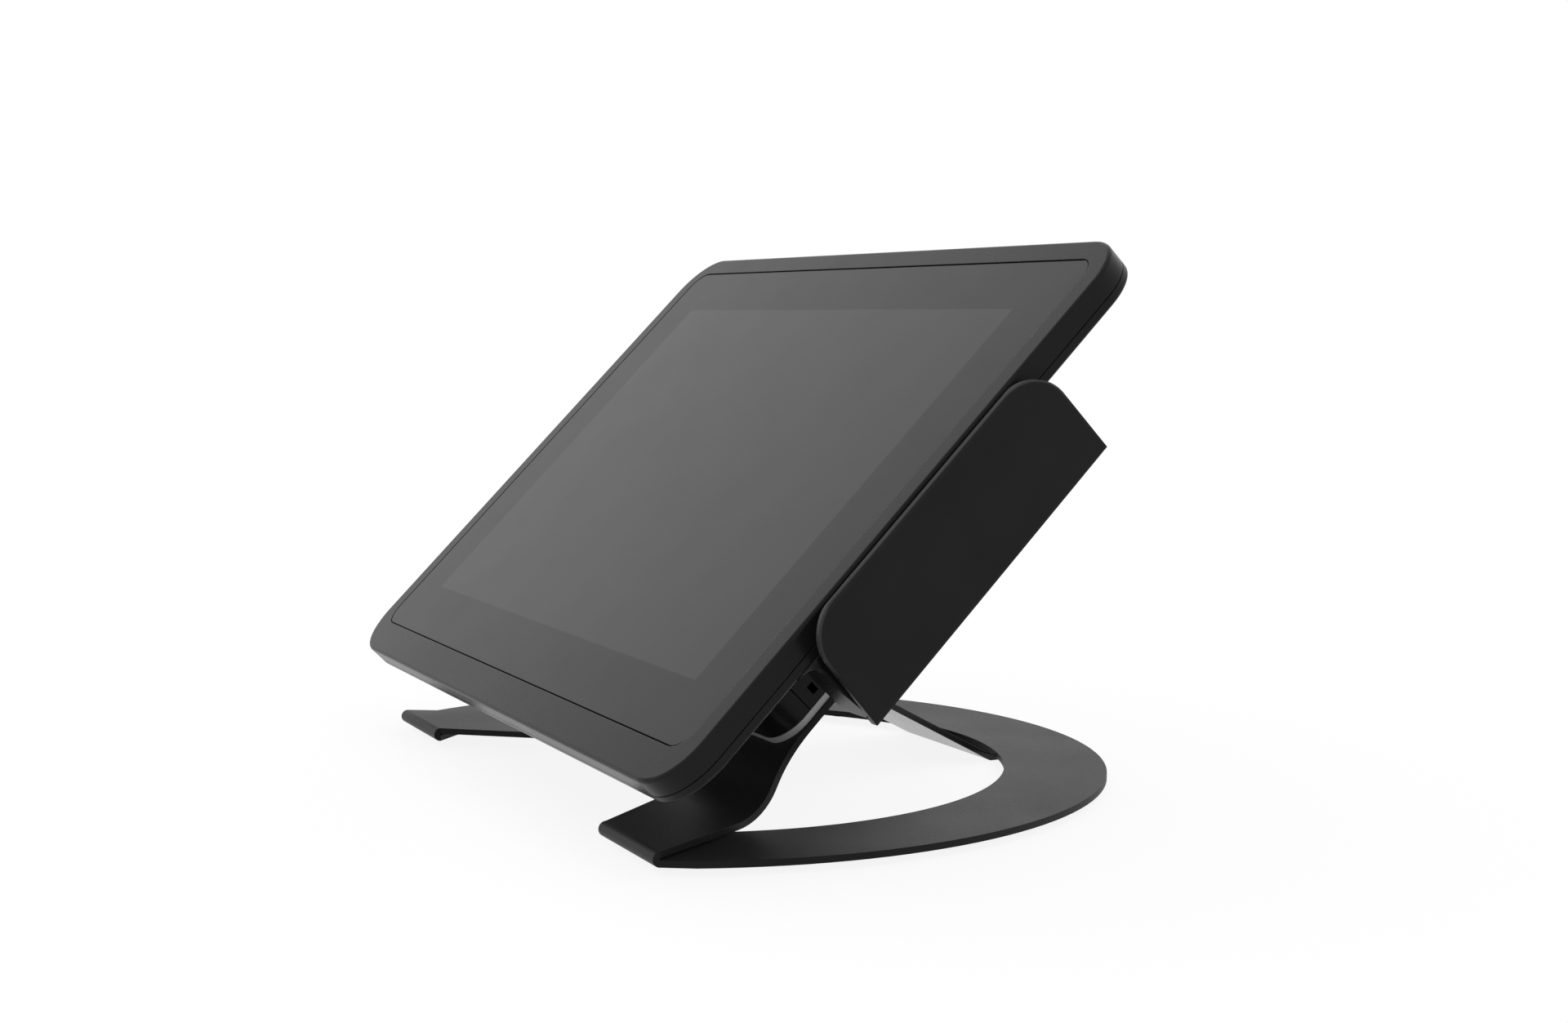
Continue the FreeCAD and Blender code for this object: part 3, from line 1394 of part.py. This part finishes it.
def bend_solid(side):
    """The bend from the flat sheet to the incline, with its slanted edges."""
    bend_y, bend_v = leg_bend()
    flat_length = bend_y - float(FOLD_LINE)
    inner_radius = float(S.leg_bend_radius)
    outer_radius = inner_radius + float(S.sheet_thickness)
    centre_z = float(HEM_TOP) + inner_radius
    wires = []
    for index in range(BEND_SECTIONS):
        angle = TILT * index / (BEND_SECTIONS - 1)
        length = flat_length + (inner_radius + outer_radius) / 2 * angle
        corners = []
        for radius, u in ((inner_radius, leg_inner(length)), (inner_radius, leg_outer(length)),
                          (outer_radius, leg_outer(length)), (outer_radius, leg_inner(length))):
            corners.append(vector(side * u, bend_y + radius * math.sin(angle),
                                  centre_z - radius * math.cos(angle)))
        wires.append(Part.makePolygon(corners + corners[:1]))
    return Part.makeLoft(wires, True, False)


def incline_solid():
    """The inclined plate behind the display, forked at its foot into the two legs."""
    bend_y, bend_v = leg_bend()
    half = float(LEG_HALF)
    outer, inner = leg_outer(leg_length()), leg_inner(leg_length())
    edge_v = bend_v + float(S.leg_side_rise)
    crotch_v = bend_v + float(S.crotch_rise)
    top = float(S.housing_top)
    outline = [
        ((outer, bend_v), 0), ((half, edge_v), S.leg_blend_radius), ((half, top), S.leg_corner),
        ((-half, top), S.leg_corner), ((-half, edge_v), S.leg_blend_radius), ((-outer, bend_v), 0),
        ((-inner, bend_v), 0), ((0, crotch_v), S.crotch_radius), ((inner, bend_v), 0),
    ]
    points = [vector(u, v, LEG_BACK) for (u, v), radius in outline]
    radii = [radius for place, radius in outline]
    plate = Part.Face(rounded_wire(points, radii)).extrude(vector(0, 0, S.sheet_thickness))
    for u, v in pattern_places():
        bore = solid_cylinder(u, v, LEG_BACK - S.overrun, S.mount_screw_radius + S.clearance,
                              S.sheet_thickness + S.overrun * 2)
        plate = plate.cut(bore)
    plate.Placement = HEAD
    return plate


def build_stand_sheet():
    shape = ring_solid()
    for side in (-1, 1):
        for piece in (fold_solid(side), flat_solid(side), bend_solid(side)):
            shape = shape.fuse(piece)
    shape = shape.fuse(incline_solid())
    return node(shaped("stand_shape", shape), "stand_sheet")


def build_stand_strut():
    """Strut from under the ring's rear to the back of the inclined plate, folded twice."""
    rise = math.radians(float(S.strut_angle))
    thickness = float(S.sheet_thickness)
    half = float(S.strut_width) / 2
    knee = vector(-half, S.ring_opening - S.strut_knee_gap, RING_BOTTOM - S.sheet_thickness)
    foot = vector(-half, S.ring_radius - S.strut_foot_margin, RING_BOTTOM - S.sheet_thickness)
    web = vector(0, -math.cos(rise), math.sin(rise))
    up = vector(0, math.cos(TILT), math.sin(TILT))
    out = vector(0, -math.sin(TILT), math.cos(TILT))
    # the strut's outer faces: under the foot, under the web and on the plate's back
    anchor = HEAD.multVec(vector(0, 0, LEG_BACK))
    reach = (anchor - knee).dot(out) / web.dot(out)
    top = knee + web * reach
    end = top + up * float(S.strut_flange)
    inner_knee = knee + vector(0, thickness * math.tan(rise / 2), thickness)
    top_half = (math.pi - rise - TILT) / 2
    inner_top = top + (web * -1 + up).normalize() * (thickness / math.cos(top_half))
    points = [foot, knee, top, end, end - out * thickness, inner_top, inner_knee,
              foot + vector(0, 0, thickness)]
    bend = float(S.strut_bend_radius)
    radii = [0, bend, bend + thickness, 0, 0, bend, bend + thickness, 0]
    face = Part.Face(rounded_wire([vector(-half, p.y, p.z) for p in points], radii))
    return node(shaped("strut_shape", face.extrude(vector(S.strut_width, 0, 0))), "stand_strut")


def build_foot_pads():
    middle = (S.ring_radius + S.ring_opening) / 2
    pads = []
    for share in PAD_PLACE_SHARES:
        for side in (-1, 1):
            angle = math.pi * share
            pads.append(cylinder(side * middle * math.sin(angle), middle * math.cos(angle), 0,
                                 S.pad_radius, S.pad_thickness))
    return node(group(pads), "foot_pads")


build_stand_sheet()
build_stand_strut()
build_foot_pads()
build_mount_plate()
build_mount_screws()
build_mount_inserts()
build_front_bezel()
build_cover_glass()
build_glass_adhesive()
build_lcd_panel()
build_panel_frame()
build_frame_screws()
build_rear_cover()
build_cover_screws()
build_main_board()
build_board_screws()
build_processor_cooler()
build_memory_module()
build_coin_cell()
build_port_bracket()
build_power_inlet()
build_usb_ports()
build_speakers()
build_antennas()
build_power_button()
build_switch_plunger()
build_button_board()
build_button_screws()
build_cable_cover()
build_reader_housing()
build_reader_lid()
build_read_head()
build_head_spring()
build_reader_board()
build_reader_screws()

doc.recompute()

# Checks before anything is written

for thing in doc.Objects:
    if "Invalid" in thing.State or "Error" in thing.State:
        raise RuntimeError("%s is %s" % (thing.Name, thing.State))
for thing in nodes:
    if thing.Shape.isNull() or not thing.Shape.isValid():
        raise RuntimeError("%s has no valid shape" % thing.Label)

# Export

os.makedirs("parts", exist_ok=True)
for thing in nodes:
    thing.Shape.exportStep("parts/%s.step" % thing.Label)
    limits = thing.Shape.BoundBox
    print("%-18s solids %d  volume %.0f  z %.1f to %.1f" % (
        thing.Label, len(thing.Shape.Solids), thing.Shape.Volume, limits.ZMin, limits.ZMax))
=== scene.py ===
import bpy
import math
from mathutils import Matrix, Vector

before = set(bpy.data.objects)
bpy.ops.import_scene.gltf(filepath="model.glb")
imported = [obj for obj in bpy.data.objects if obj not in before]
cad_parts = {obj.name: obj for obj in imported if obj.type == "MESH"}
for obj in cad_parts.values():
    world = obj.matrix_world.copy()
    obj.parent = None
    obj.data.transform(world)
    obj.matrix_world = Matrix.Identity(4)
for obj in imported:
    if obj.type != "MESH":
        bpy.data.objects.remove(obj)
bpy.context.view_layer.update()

# Sizes of the terminal and the camera are in millimetres

MM = 0.001

# Display's own axes: u to the right, v up the face and w out of it

TILT = math.radians(45)
FACE = Vector((0, -2.0, 95.8)) * MM
TO_HEAD = Matrix.Translation(FACE) @ Matrix.Rotation(TILT, 4, "X")

# Lit area of the display and outline of the cover glass, seen along w

LIT_HALF_WIDTH = 108.48
LIT_HALF_HEIGHT = 67.8
LIT_RAISE = 2.2
LIT_FADE = 0.5
GLASS_HALF_WIDTH = 128.7
GLASS_HALF_HEIGHT = 86.4
GLASS_RAISE = 2.1
GLASS_CORNER = 7.0
CHAMFER = 0.5
THINNER_BELOW = 0.25

# Outline of the card reader's wing, seen along u, and the light line inside it, which is a
# painted highlight

WING_MIDDLE = 2.5
WING_HALF = 47.8
WING_RISE = 1.9
WING_CORNER_TOP = 14.0
WING_CORNER_LOW = 12.3
LINE_INSIDE = 0.55
LINE_EDGE = 0.2
LINE_LOW = -40.0
LINE_FULL = -20.0
LINE_LOW_SHARE = 0.5
LINE_BACK = -9.0
LINE_FADE = 6.0

# Noise over a place: waves to the metre, detail and roughness

PATCH_NOISE = (160.0, 3.0, 0.6)
CLOUD_NOISE = (22.0, 3.0, 0.55)
GLASS_CLOUD_NOISE = (9.0, 2.0, 0.5)
GLASS_SMUDGE_NOISE = (35.0, 4.0, 0.6)
GLASS_GRAIN_NOISE = (900.0, 2.0, 0.5)

# Grain, whose waves to the metre come from its size: detail and roughness

FINE_NOISE = (3.0, 0.6)
COARSE_NOISE = (2.0, 0.5)
COARSER = 9.0
FINE_SHARE = 0.7
COARSE_SHARE = 0.3

# Where a mask starts and where it is full: of noise, of an edge's bend and of a face's turn

NOISE_MIDDLE = (0.35, 0.65)
NOISE_MOST = (0.3, 0.7)
SMUDGES = (0.35, 0.7)
BEND = (0.75, 0.995)
TURNED = (0.2, 0.4)
TURNED_RIGHT = (0.6, 0.9)

# Roughness of the grained materials

BEVEL_SAMPLES = 4
CLOUD_ROUGHNESS = 0.03
GRAIN_ROUGHNESS = 0.04
WORN_SMOOTHER = 0.06

# Cover glass: print round the border, panel behind the lit area, chamfer darkened into painted
# shade of the gap round the glass, and ground edge

PRINT_LOW = 0.004
PRINT_HIGH = 0.006
PANEL_LOW = 0.032
PANEL_HIGH = 0.038
CHAMFER_SHADE_TONE = 0.002
CHAMFER_ROUGHER = 0.4
GROUND_TONE = 0.3
GLASS_SPECULAR = 0.17
GLASS_SMOOTHEST = 0.315
GLASS_ROUGHEST = 0.34
GLASS_GRAIN_ROUGHNESS = 0.01
GLASS_GRAIN_DEPTH = 0.001

# Floor, surroundings and lamp, in metres and watts

FLOOR_HALF = 6.0
FLOOR_TONE = 0.85
FLOOR_GLOW = 1.1
GLOW_SHARE = 0.8
WORLD_LIGHT = 0.7
WINDOW_PLACE = (-1.6, -0.1, 1.35)
WINDOW_TARGET = (0, -0.1, 1.0)
WINDOW_SIZE = (3.4, 2.5)
WINDOW_POWER = 5.6

# Camera

AZIMUTH = math.radians(63.65)
ELEVATION = math.radians(5.18)
EYE = Vector((616.8, -274.5, 143.7)) * MM
SENSOR_WIDTH = 36.0
LENS = 50.0
NEAREST = 10.0


# Node trees

def new_material(name):
    material = bpy.data.materials.new(name)
    material.use_nodes = True
    material.node_tree.nodes.clear()
    return material


class Tree:
    """Short calls for building a node tree."""

    # Colour sockets of the mix node, which also has number and vector sockets
    MIX_FIRST = 6
    MIX_SECOND = 7
    MIX_RESULT = 2

    def __init__(self, owner):
        self.tree = owner.node_tree

    def put(self, socket, value):
        if isinstance(value, bpy.types.NodeSocket):
            self.tree.links.new(value, socket)
        else:
            socket.default_value = value

    def add(self, kind, inputs=None, **settings):
        made = self.tree.nodes.new(kind)
        for name, value in settings.items():
            setattr(made, name, value)
        for name, value in (inputs or {}).items():
            self.put(made.inputs[name], value)
        return made

    def noise(self, place, scale, detail, roughness):
        made = self.add("ShaderNodeTexNoise", {
            "Vector": place, "Scale": scale, "Detail": detail, "Roughness": roughness})
        return made.outputs["Fac"]

    def spread(self, value, low, high, start=0.0, end=1.0):
        """Maps a value from one range to another and holds it there."""
        made = self.add("ShaderNodeMapRange", {
            "Value": value, "From Min": start, "From Max": end, "To Min": low, "To Max": high})
        return made.outputs["Result"]

    def math(self, operation, first, second=0.0):
        made = self.add("ShaderNodeMath", {0: first, 1: second}, operation=operation)
        return made.outputs["Value"]

    def tint(self, factor, first, second):
        mixed = self.add("ShaderNodeMix", {"Factor": factor}, data_type="RGBA")
        self.put(mixed.inputs[self.MIX_FIRST], first)
        self.put(mixed.inputs[self.MIX_SECOND], second)
        return mixed.outputs[self.MIX_RESULT]

    def bump(self, height, depth, **more):
        made = self.add("ShaderNodeBump", {
            "Height": height, "Strength": 1.0, "Distance": depth * MM, **more})
        return made.outputs["Normal"]

    def place(self):
        return self.add("ShaderNodeTexCoord").outputs["Object"]

    def head_place(self, place):
        """The same place in the display's own axes."""
        back = TO_HEAD.inverted()
        made = self.add("ShaderNodeMapping", {
            "Vector": place, "Location": back.to_translation(), "Rotation": back.to_euler()},
            vector_type="POINT")
        return made.outputs["Vector"]

    def facing(self):
        """How far the surface faces right and up, from minus one to one."""
        normal = self.add("ShaderNodeNewGeometry").outputs["Normal"]
        parts = self.add("ShaderNodeSeparateXYZ", {0: normal})
        return parts.outputs["X"], parts.outputs["Z"]

    def rounded(self, along, out):
        """Distance from a corner's centre, or from the nearer side where that is less."""
        squares = [self.math("POWER", self.math("MAXIMUM", part, 0.0), 2.0)
                   for part in (along, out)]
        corner = self.math("SQRT", self.math("ADD", squares[0], squares[1]))
        side = self.math("MINIMUM", self.math("MAXIMUM", along, out), 0.0)
        return self.math("ADD", corner, side)

    def upright_side(self):
        """One where a sheet's cut edge stands upright and faces left or right; these sides get
        painted shade.
        """
        right, up = self.facing()
        sideways = self.spread(self.math("ABSOLUTE", right), 0.0, 1.0, *TURNED)
        upright = self.spread(self.math("ABSOLUTE", up), 1.0, 0.0, *TURNED)
        return self.math("MULTIPLY", sideways, upright)

    def finish(self, shader):
        self.add("ShaderNodeOutputMaterial", {"Surface": shader})


def grey(value, tint=(1.0, 1.0, 1.0)):
    return tuple(value * part for part in tint) + (1.0,)


# Grained materials

def wing_highlight_line(tree, place, wear_and_highlight):
    """Wear and painted highlight of the card reader: a light line round the wing's front edge,
    mostly a painted highlight, none behind it.
    """
    parts = tree.add("ShaderNodeSeparateXYZ", {0: tree.head_place(place)})
    height, depth = parts.outputs["Y"], parts.outputs["Z"]
    radius = tree.spread(height, WING_CORNER_LOW * MM, WING_CORNER_TOP * MM, -MM, MM)
    along = tree.math("ABSOLUTE", tree.math("SUBTRACT", height, WING_MIDDLE * MM))
    along = tree.math("ADD", tree.math("SUBTRACT", along, WING_HALF * MM), radius)
    out = tree.math("ADD", tree.math("SUBTRACT", depth, WING_RISE * MM), radius)
    reach = tree.math("SUBTRACT", tree.rounded(along, out), radius)
    line = tree.spread(reach, 0.0, 1.0, -LINE_INSIDE * MM, -LINE_EDGE * MM)
    strength = tree.spread(height, LINE_LOW_SHARE, 1.0, LINE_LOW * MM, LINE_FULL * MM)
    line = tree.math("MULTIPLY", line, strength)
    near = tree.spread(depth, 0.0, 1.0, (LINE_BACK - LINE_FADE) * MM, LINE_BACK * MM)
    return tree.math("MULTIPLY", tree.math("MAXIMUM", wear_and_highlight, line), near)


def worn_and_highlighted_edges(tree, place, radius, least):
    """Rounded edge normals, and how much of an edge a point is on, broken up by noise; on the
    card reader this lightening is a painted highlight.
    """
    bevel = tree.add("ShaderNodeBevel", {"Radius": radius * MM}, samples=BEVEL_SAMPLES)
    soft = bevel.outputs["Normal"]
    flat = tree.add("ShaderNodeNewGeometry").outputs["Normal"]
    same = tree.add("ShaderNodeVectorMath", {0: soft, 1: flat}, operation="DOT_PRODUCT")
    bent = tree.spread(same.outputs["Value"], 1.0, 0.0, *BEND)
    patches = tree.spread(tree.noise(place, *PATCH_NOISE), least, 1.0, *NOISE_MIDDLE)
    return soft, tree.math("MULTIPLY", bent, patches)


def surface_colour(tree, cloud, wear_and_highlight, low, high, tint, wear_and_highlight_gain, side_shade_tone):
    """Soft clouds from the low tone to the high one, lighter on rubbed edges and on the card
    reader's painted highlight, with painted shade on upright sides.
    """
    clouds = tree.spread(cloud, 0.0, 1.0, *NOISE_MIDDLE)
    body = tree.tint(clouds, grey(low, tint), grey(high, tint))
    # Lightened edges: rubbing, and on the card reader a painted highlight.
    colour = tree.tint(wear_and_highlight, body, grey(high * wear_and_highlight_gain, tint))
    # Painted shade on upright sides facing left or right.
    if side_shade_tone is not None:
        colour = tree.tint(tree.upright_side(), colour, grey(side_shade_tone))
    return colour


def surface_roughness(tree, cloud, fine, wear_and_highlight, roughness):
    """Roughness that varies with clouds and grain, and is less where the surface is worn."""
    clouds = tree.spread(cloud, roughness - CLOUD_ROUGHNESS, roughness + CLOUD_ROUGHNESS,
                         *NOISE_MOST)
    grains = tree.spread(fine, -GRAIN_ROUGHNESS, GRAIN_ROUGHNESS, *NOISE_MOST)
    smoother = tree.math("MULTIPLY", wear_and_highlight, WORN_SMOOTHER)
    return tree.math("SUBTRACT", tree.math("ADD", clouds, grains), smoother)


def textured_material(name, low, high, roughness, grain, depth, specular=0.3, metallic=0.0,
                      tint=(1.0, 1.0, 1.0), edge=0.4, wear_and_highlight_gain=1.6, least=0.15,
                      shaped_wear_and_highlight=None, side_shade_tone=None):
    """A grained surface; grain size, relief depth and edge radius are in millimetres.

    Wear is at least the share least along an edge, and shaped_wear_and_highlight says where
    else it lies; on the card reader the lightening is mostly a painted highlight.
    Upright sheet edges facing left or right get a darker tone, which is painted shade.
    """
    material = new_material(name)
    tree = Tree(material)
    place = tree.place()
    per_metre = 1.0 / (grain * MM)
    fine = tree.noise(place, per_metre, *FINE_NOISE)
    coarse = tree.noise(place, per_metre / COARSER, *COARSE_NOISE)
    cloud = tree.noise(place, *CLOUD_NOISE)
    soft, wear_and_highlight = worn_and_highlighted_edges(tree, place, edge, least)
    gloss = specular
    if shaped_wear_and_highlight is not None:
        wear_and_highlight = shaped_wear_and_highlight(tree, place, wear_and_highlight)
        gloss = tree.spread(wear_and_highlight, specular, 0.0)
    height = tree.math("ADD", tree.math("MULTIPLY", fine, FINE_SHARE),
                       tree.math("MULTIPLY", coarse, COARSE_SHARE))
    shader = tree.add("ShaderNodeBsdfPrincipled", {
        "Base Color": surface_colour(tree, cloud, wear_and_highlight, low, high, tint, wear_and_highlight_gain, side_shade_tone),
        "Roughness": surface_roughness(tree, cloud, fine, wear_and_highlight, roughness),
        "Metallic": metallic, "Specular IOR Level": gloss,
        "Normal": tree.bump(height, depth, Normal=soft)})
    tree.finish(shader.outputs["BSDF"])
    return material


# Cover glass

def lit_mask(tree, parts):
    """One on the lit area of the display."""
    inside = []
    for axis, middle, half in (("X", 0.0, LIT_HALF_WIDTH), ("Y", LIT_RAISE, LIT_HALF_HEIGHT)):
        away = tree.math("ABSOLUTE", tree.math("SUBTRACT", parts.outputs[axis], middle * MM))
        inside.append(tree.spread(away, 1.0, 0.0, (half - LIT_FADE) * MM, half * MM))
    return tree.math("MULTIPLY", inside[0], inside[1])


def chamfer_shade_mask(tree, parts):
    """One on the glass's chamfer, which is thinner below and doesn't show on the right; it
    carries the painted shade of the gap round the glass.
    """
    left = tree.math("MULTIPLY", parts.outputs["X"], -1.0)
    above = tree.math("SUBTRACT", parts.outputs["Y"], GLASS_RAISE * MM)
    below = tree.math("SUBTRACT", tree.math("MULTIPLY", above, -1.0), THINNER_BELOW * MM)
    higher = tree.math("MAXIMUM", above, below)
    along = tree.math("SUBTRACT", left, (GLASS_HALF_WIDTH - GLASS_CORNER) * MM)
    out = tree.math("SUBTRACT", higher, (GLASS_HALF_HEIGHT - GLASS_CORNER) * MM)
    start = (GLASS_CORNER - CHAMFER) * MM
    full = (GLASS_CORNER - CHAMFER / 2) * MM
    return tree.spread(tree.rounded(along, out), 0.0, 1.0, start, full)


def screen_glass():
    """Dark print at the border and the resting display behind the middle."""
    material = new_material("screen_glass")
    tree = Tree(material)
    turned = tree.head_place(tree.place())
    parts = tree.add("ShaderNodeSeparateXYZ", {0: turned})
    chamfer_shade = chamfer_shade_mask(tree, parts)
    ground = tree.spread(tree.facing()[0], 0.0, 1.0, *TURNED_RIGHT)
    cloud = tree.noise(turned, *GLASS_CLOUD_NOISE)
    print_tone = tree.tint(cloud, grey(PRINT_LOW), grey(PRINT_HIGH))
    panel_tone = tree.tint(cloud, grey(PANEL_LOW), grey(PANEL_HIGH))
    colour = tree.tint(lit_mask(tree, parts), print_tone, panel_tone)
    # Painted shade of the gap round the glass: the chamfer band is near black here, and further
    # down it loses its gloss and gets rougher.
    colour = tree.tint(chamfer_shade, colour, grey(CHAMFER_SHADE_TONE))
    colour = tree.tint(ground, colour, grey(GROUND_TONE))
    smudge = tree.noise(turned, *GLASS_SMUDGE_NOISE)
    fine = tree.noise(turned, *GLASS_GRAIN_NOISE)
    smudges = tree.spread(smudge, GLASS_SMOOTHEST, GLASS_ROUGHEST, *SMUDGES)
    grains = tree.spread(fine, -GLASS_GRAIN_ROUGHNESS, GLASS_GRAIN_ROUGHNESS, *NOISE_MOST)
    rough = tree.math("ADD", tree.math("ADD", smudges, grains),
                      tree.math("MULTIPLY", chamfer_shade, CHAMFER_ROUGHER))
    shader = tree.add("ShaderNodeBsdfPrincipled", {
        "Base Color": colour, "Roughness": rough,
        "Specular IOR Level": tree.spread(chamfer_shade, GLASS_SPECULAR, 0.0),
        "Normal": tree.bump(fine, GLASS_GRAIN_DEPTH)})
    tree.finish(shader.outputs["BSDF"])
    return material


# Materials of the pieces

def paint(material, *names):
    for name in names:
        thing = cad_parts[name]
        thing.data.materials.clear()
        thing.data.materials.append(material)


shell = textured_material(
    "shell_plastic", low=0.010, high=0.013, roughness=0.28, grain=0.35, depth=0.006,
    specular=0.10)
# The card reader's strongly lightened edges are a little wear and mostly a painted highlight on
# the rounded edges.
reader_shell = textured_material(
    "reader_plastic", low=0.010, high=0.013, roughness=0.31, grain=0.35, depth=0.006,
    specular=0.10, edge=1.3, wear_and_highlight_gain=7.5, least=0.7, shaped_wear_and_highlight=wing_highlight_line)
# The darker side tone on upright sheet edges facing left or right is painted shade.
steel = textured_material(
    "powder_coat", low=0.018, high=0.022, roughness=0.48, grain=0.5, depth=0.010,
    specular=0.15, edge=0.25, wear_and_highlight_gain=1.25, side_shade_tone=0.008)
strut_steel = textured_material(
    "strut_coat", low=0.013, high=0.016, roughness=0.20, grain=0.5, depth=0.006,
    specular=0.3)
plate = textured_material(
    "plate_paint", low=0.52, high=0.56, roughness=0.45, grain=0.4, depth=0.01,
    specular=0.4, wear_and_highlight_gain=1.2)
screw_black = textured_material(
    "black_zinc", low=0.03, high=0.04, roughness=0.35, grain=0.3, depth=0.004,
    specular=0.5, metallic=0.6)
rubber = textured_material(
    "pad_rubber", low=0.012, high=0.02, roughness=0.75, grain=0.6, depth=0.02,
    specular=0.3)
bright = textured_material(
    "bright_steel", low=0.5, high=0.56, roughness=0.3, grain=0.4, depth=0.004,
    metallic=1.0, wear_and_highlight_gain=1.2)
brass = textured_material(
    "brass", low=0.6, high=0.7, roughness=0.3, grain=0.4, depth=0.004,
    metallic=1.0, tint=(1.0, 0.78, 0.42), wear_and_highlight_gain=1.2)
aluminium = textured_material(
    "cooler_aluminium", low=0.6, high=0.66, roughness=0.35, grain=0.5, depth=0.004,
    metallic=1.0, wear_and_highlight_gain=1.2)
solder = textured_material(
    "solder_mask", low=0.05, high=0.07, roughness=0.4, grain=0.6, depth=0.004,
    specular=0.5, tint=(0.3, 1.5, 0.7))

paint(shell, "front_bezel", "rear_cover", "cable_cover", "power_button", "switch_plunger",
      "power_inlet", "speakers")
paint(reader_shell, "reader_housing", "reader_lid")
paint(steel, "stand_sheet")
paint(strut_steel, "stand_strut")
paint(plate, "mount_plate")
paint(screen_glass(), "cover_glass")
paint(screw_black, "mount_screws", "frame_screws", "cover_screws", "reader_screws")
paint(rubber, "foot_pads", "glass_adhesive")
paint(bright, "lcd_panel", "panel_frame", "port_bracket", "usb_ports", "coin_cell",
      "board_screws", "button_screws", "read_head", "head_spring")
paint(brass, "mount_inserts")
paint(aluminium, "processor_cooler")
paint(solder, "main_board", "memory_module", "antennas", "button_board", "reader_board")


# Floor, light and camera

def seen_by_eye(tree):
    """One for camera, mirror and glass rays, zero for light that falls on the object."""
    path = tree.add("ShaderNodeLightPath")
    mirror = tree.math("MAXIMUM", path.outputs["Is Glossy Ray"],
                       path.outputs["Is Transmission Ray"])
    return tree.math("MAXIMUM", path.outputs["Is Camera Ray"], mirror)


def make_floor():
    mesh = bpy.data.meshes.new("floor")
    half = FLOOR_HALF
    corners = [(-half, -half, 0), (half, -half, 0), (half, half, 0), (-half, half, 0)]
    mesh.from_pydata(corners, [], [(0, 1, 2, 3)])
    floor = bpy.data.objects.new("floor", mesh)
    bpy.context.scene.collection.objects.link(floor)
    material = new_material("floor_white")
    tree = Tree(material)
    diffuse = tree.add("ShaderNodeBsdfDiffuse", {"Color": grey(FLOOR_TONE)})
    glow = tree.add("ShaderNodeEmission", {"Color": grey(1.0), "Strength": FLOOR_GLOW})
    share = tree.math("MULTIPLY", seen_by_eye(tree), GLOW_SHARE)
    mixed = tree.add("ShaderNodeMixShader", {
        0: share, 1: diffuse.outputs["BSDF"], 2: glow.outputs["Emission"]})
    tree.finish(mixed.outputs["Shader"])
    mesh.materials.append(material)


def make_world():
    world = bpy.data.worlds.new("studio")
    bpy.context.scene.world = world
    world.use_nodes = True
    world.node_tree.nodes.clear()
    tree = Tree(world)
    light = tree.add("ShaderNodeBackground", {"Color": grey(1.0), "Strength": WORLD_LIGHT})
    white = tree.add("ShaderNodeBackground", {"Color": grey(1.0), "Strength": 1.0})
    both = tree.add("ShaderNodeMixShader", {
        0: seen_by_eye(tree), 1: light.outputs["Background"], 2: white.outputs["Background"]})
    tree.add("ShaderNodeOutputWorld", {"Surface": both.outputs["Shader"]})


def make_lamp(name, place, target, size, power):
    """A wide lamp, hidden from the camera, whose face shows in the gloss of the display."""
    data = bpy.data.lights.new(name, "AREA")
    data.shape = "RECTANGLE"
    data.size, data.size_y = size
    data.energy = power
    lamp = bpy.data.objects.new(name, data)
    bpy.context.scene.collection.objects.link(lamp)
    lamp.location = place
    direction = Vector(target) - Vector(place)
    lamp.rotation_euler = direction.to_track_quat("-Z", "Y").to_euler()
    lamp.visible_camera = False


def make_camera():
    data = bpy.data.cameras.new("camera")
    data.sensor_width = SENSOR_WIDTH
    data.lens = LENS
    data.clip_start = NEAREST * MM
    camera = bpy.data.objects.new("camera", data)
    bpy.context.scene.collection.objects.link(camera)
    level = math.cos(ELEVATION)
    back = Vector((math.sin(AZIMUTH) * level, -math.cos(AZIMUTH) * level,
                   math.sin(ELEVATION)))
    right = Vector((math.cos(AZIMUTH), math.sin(AZIMUTH), 0))
    up = back.cross(right)
    turn = Matrix((right, up, back)).transposed().to_4x4()
    camera.matrix_world = Matrix.Translation(EYE) @ turn
    bpy.context.scene.camera = camera


make_floor()
make_world()
make_lamp("left_window", WINDOW_PLACE, WINDOW_TARGET, WINDOW_SIZE, WINDOW_POWER)
make_camera()

bpy.context.scene.view_settings.view_transform = "Standard"
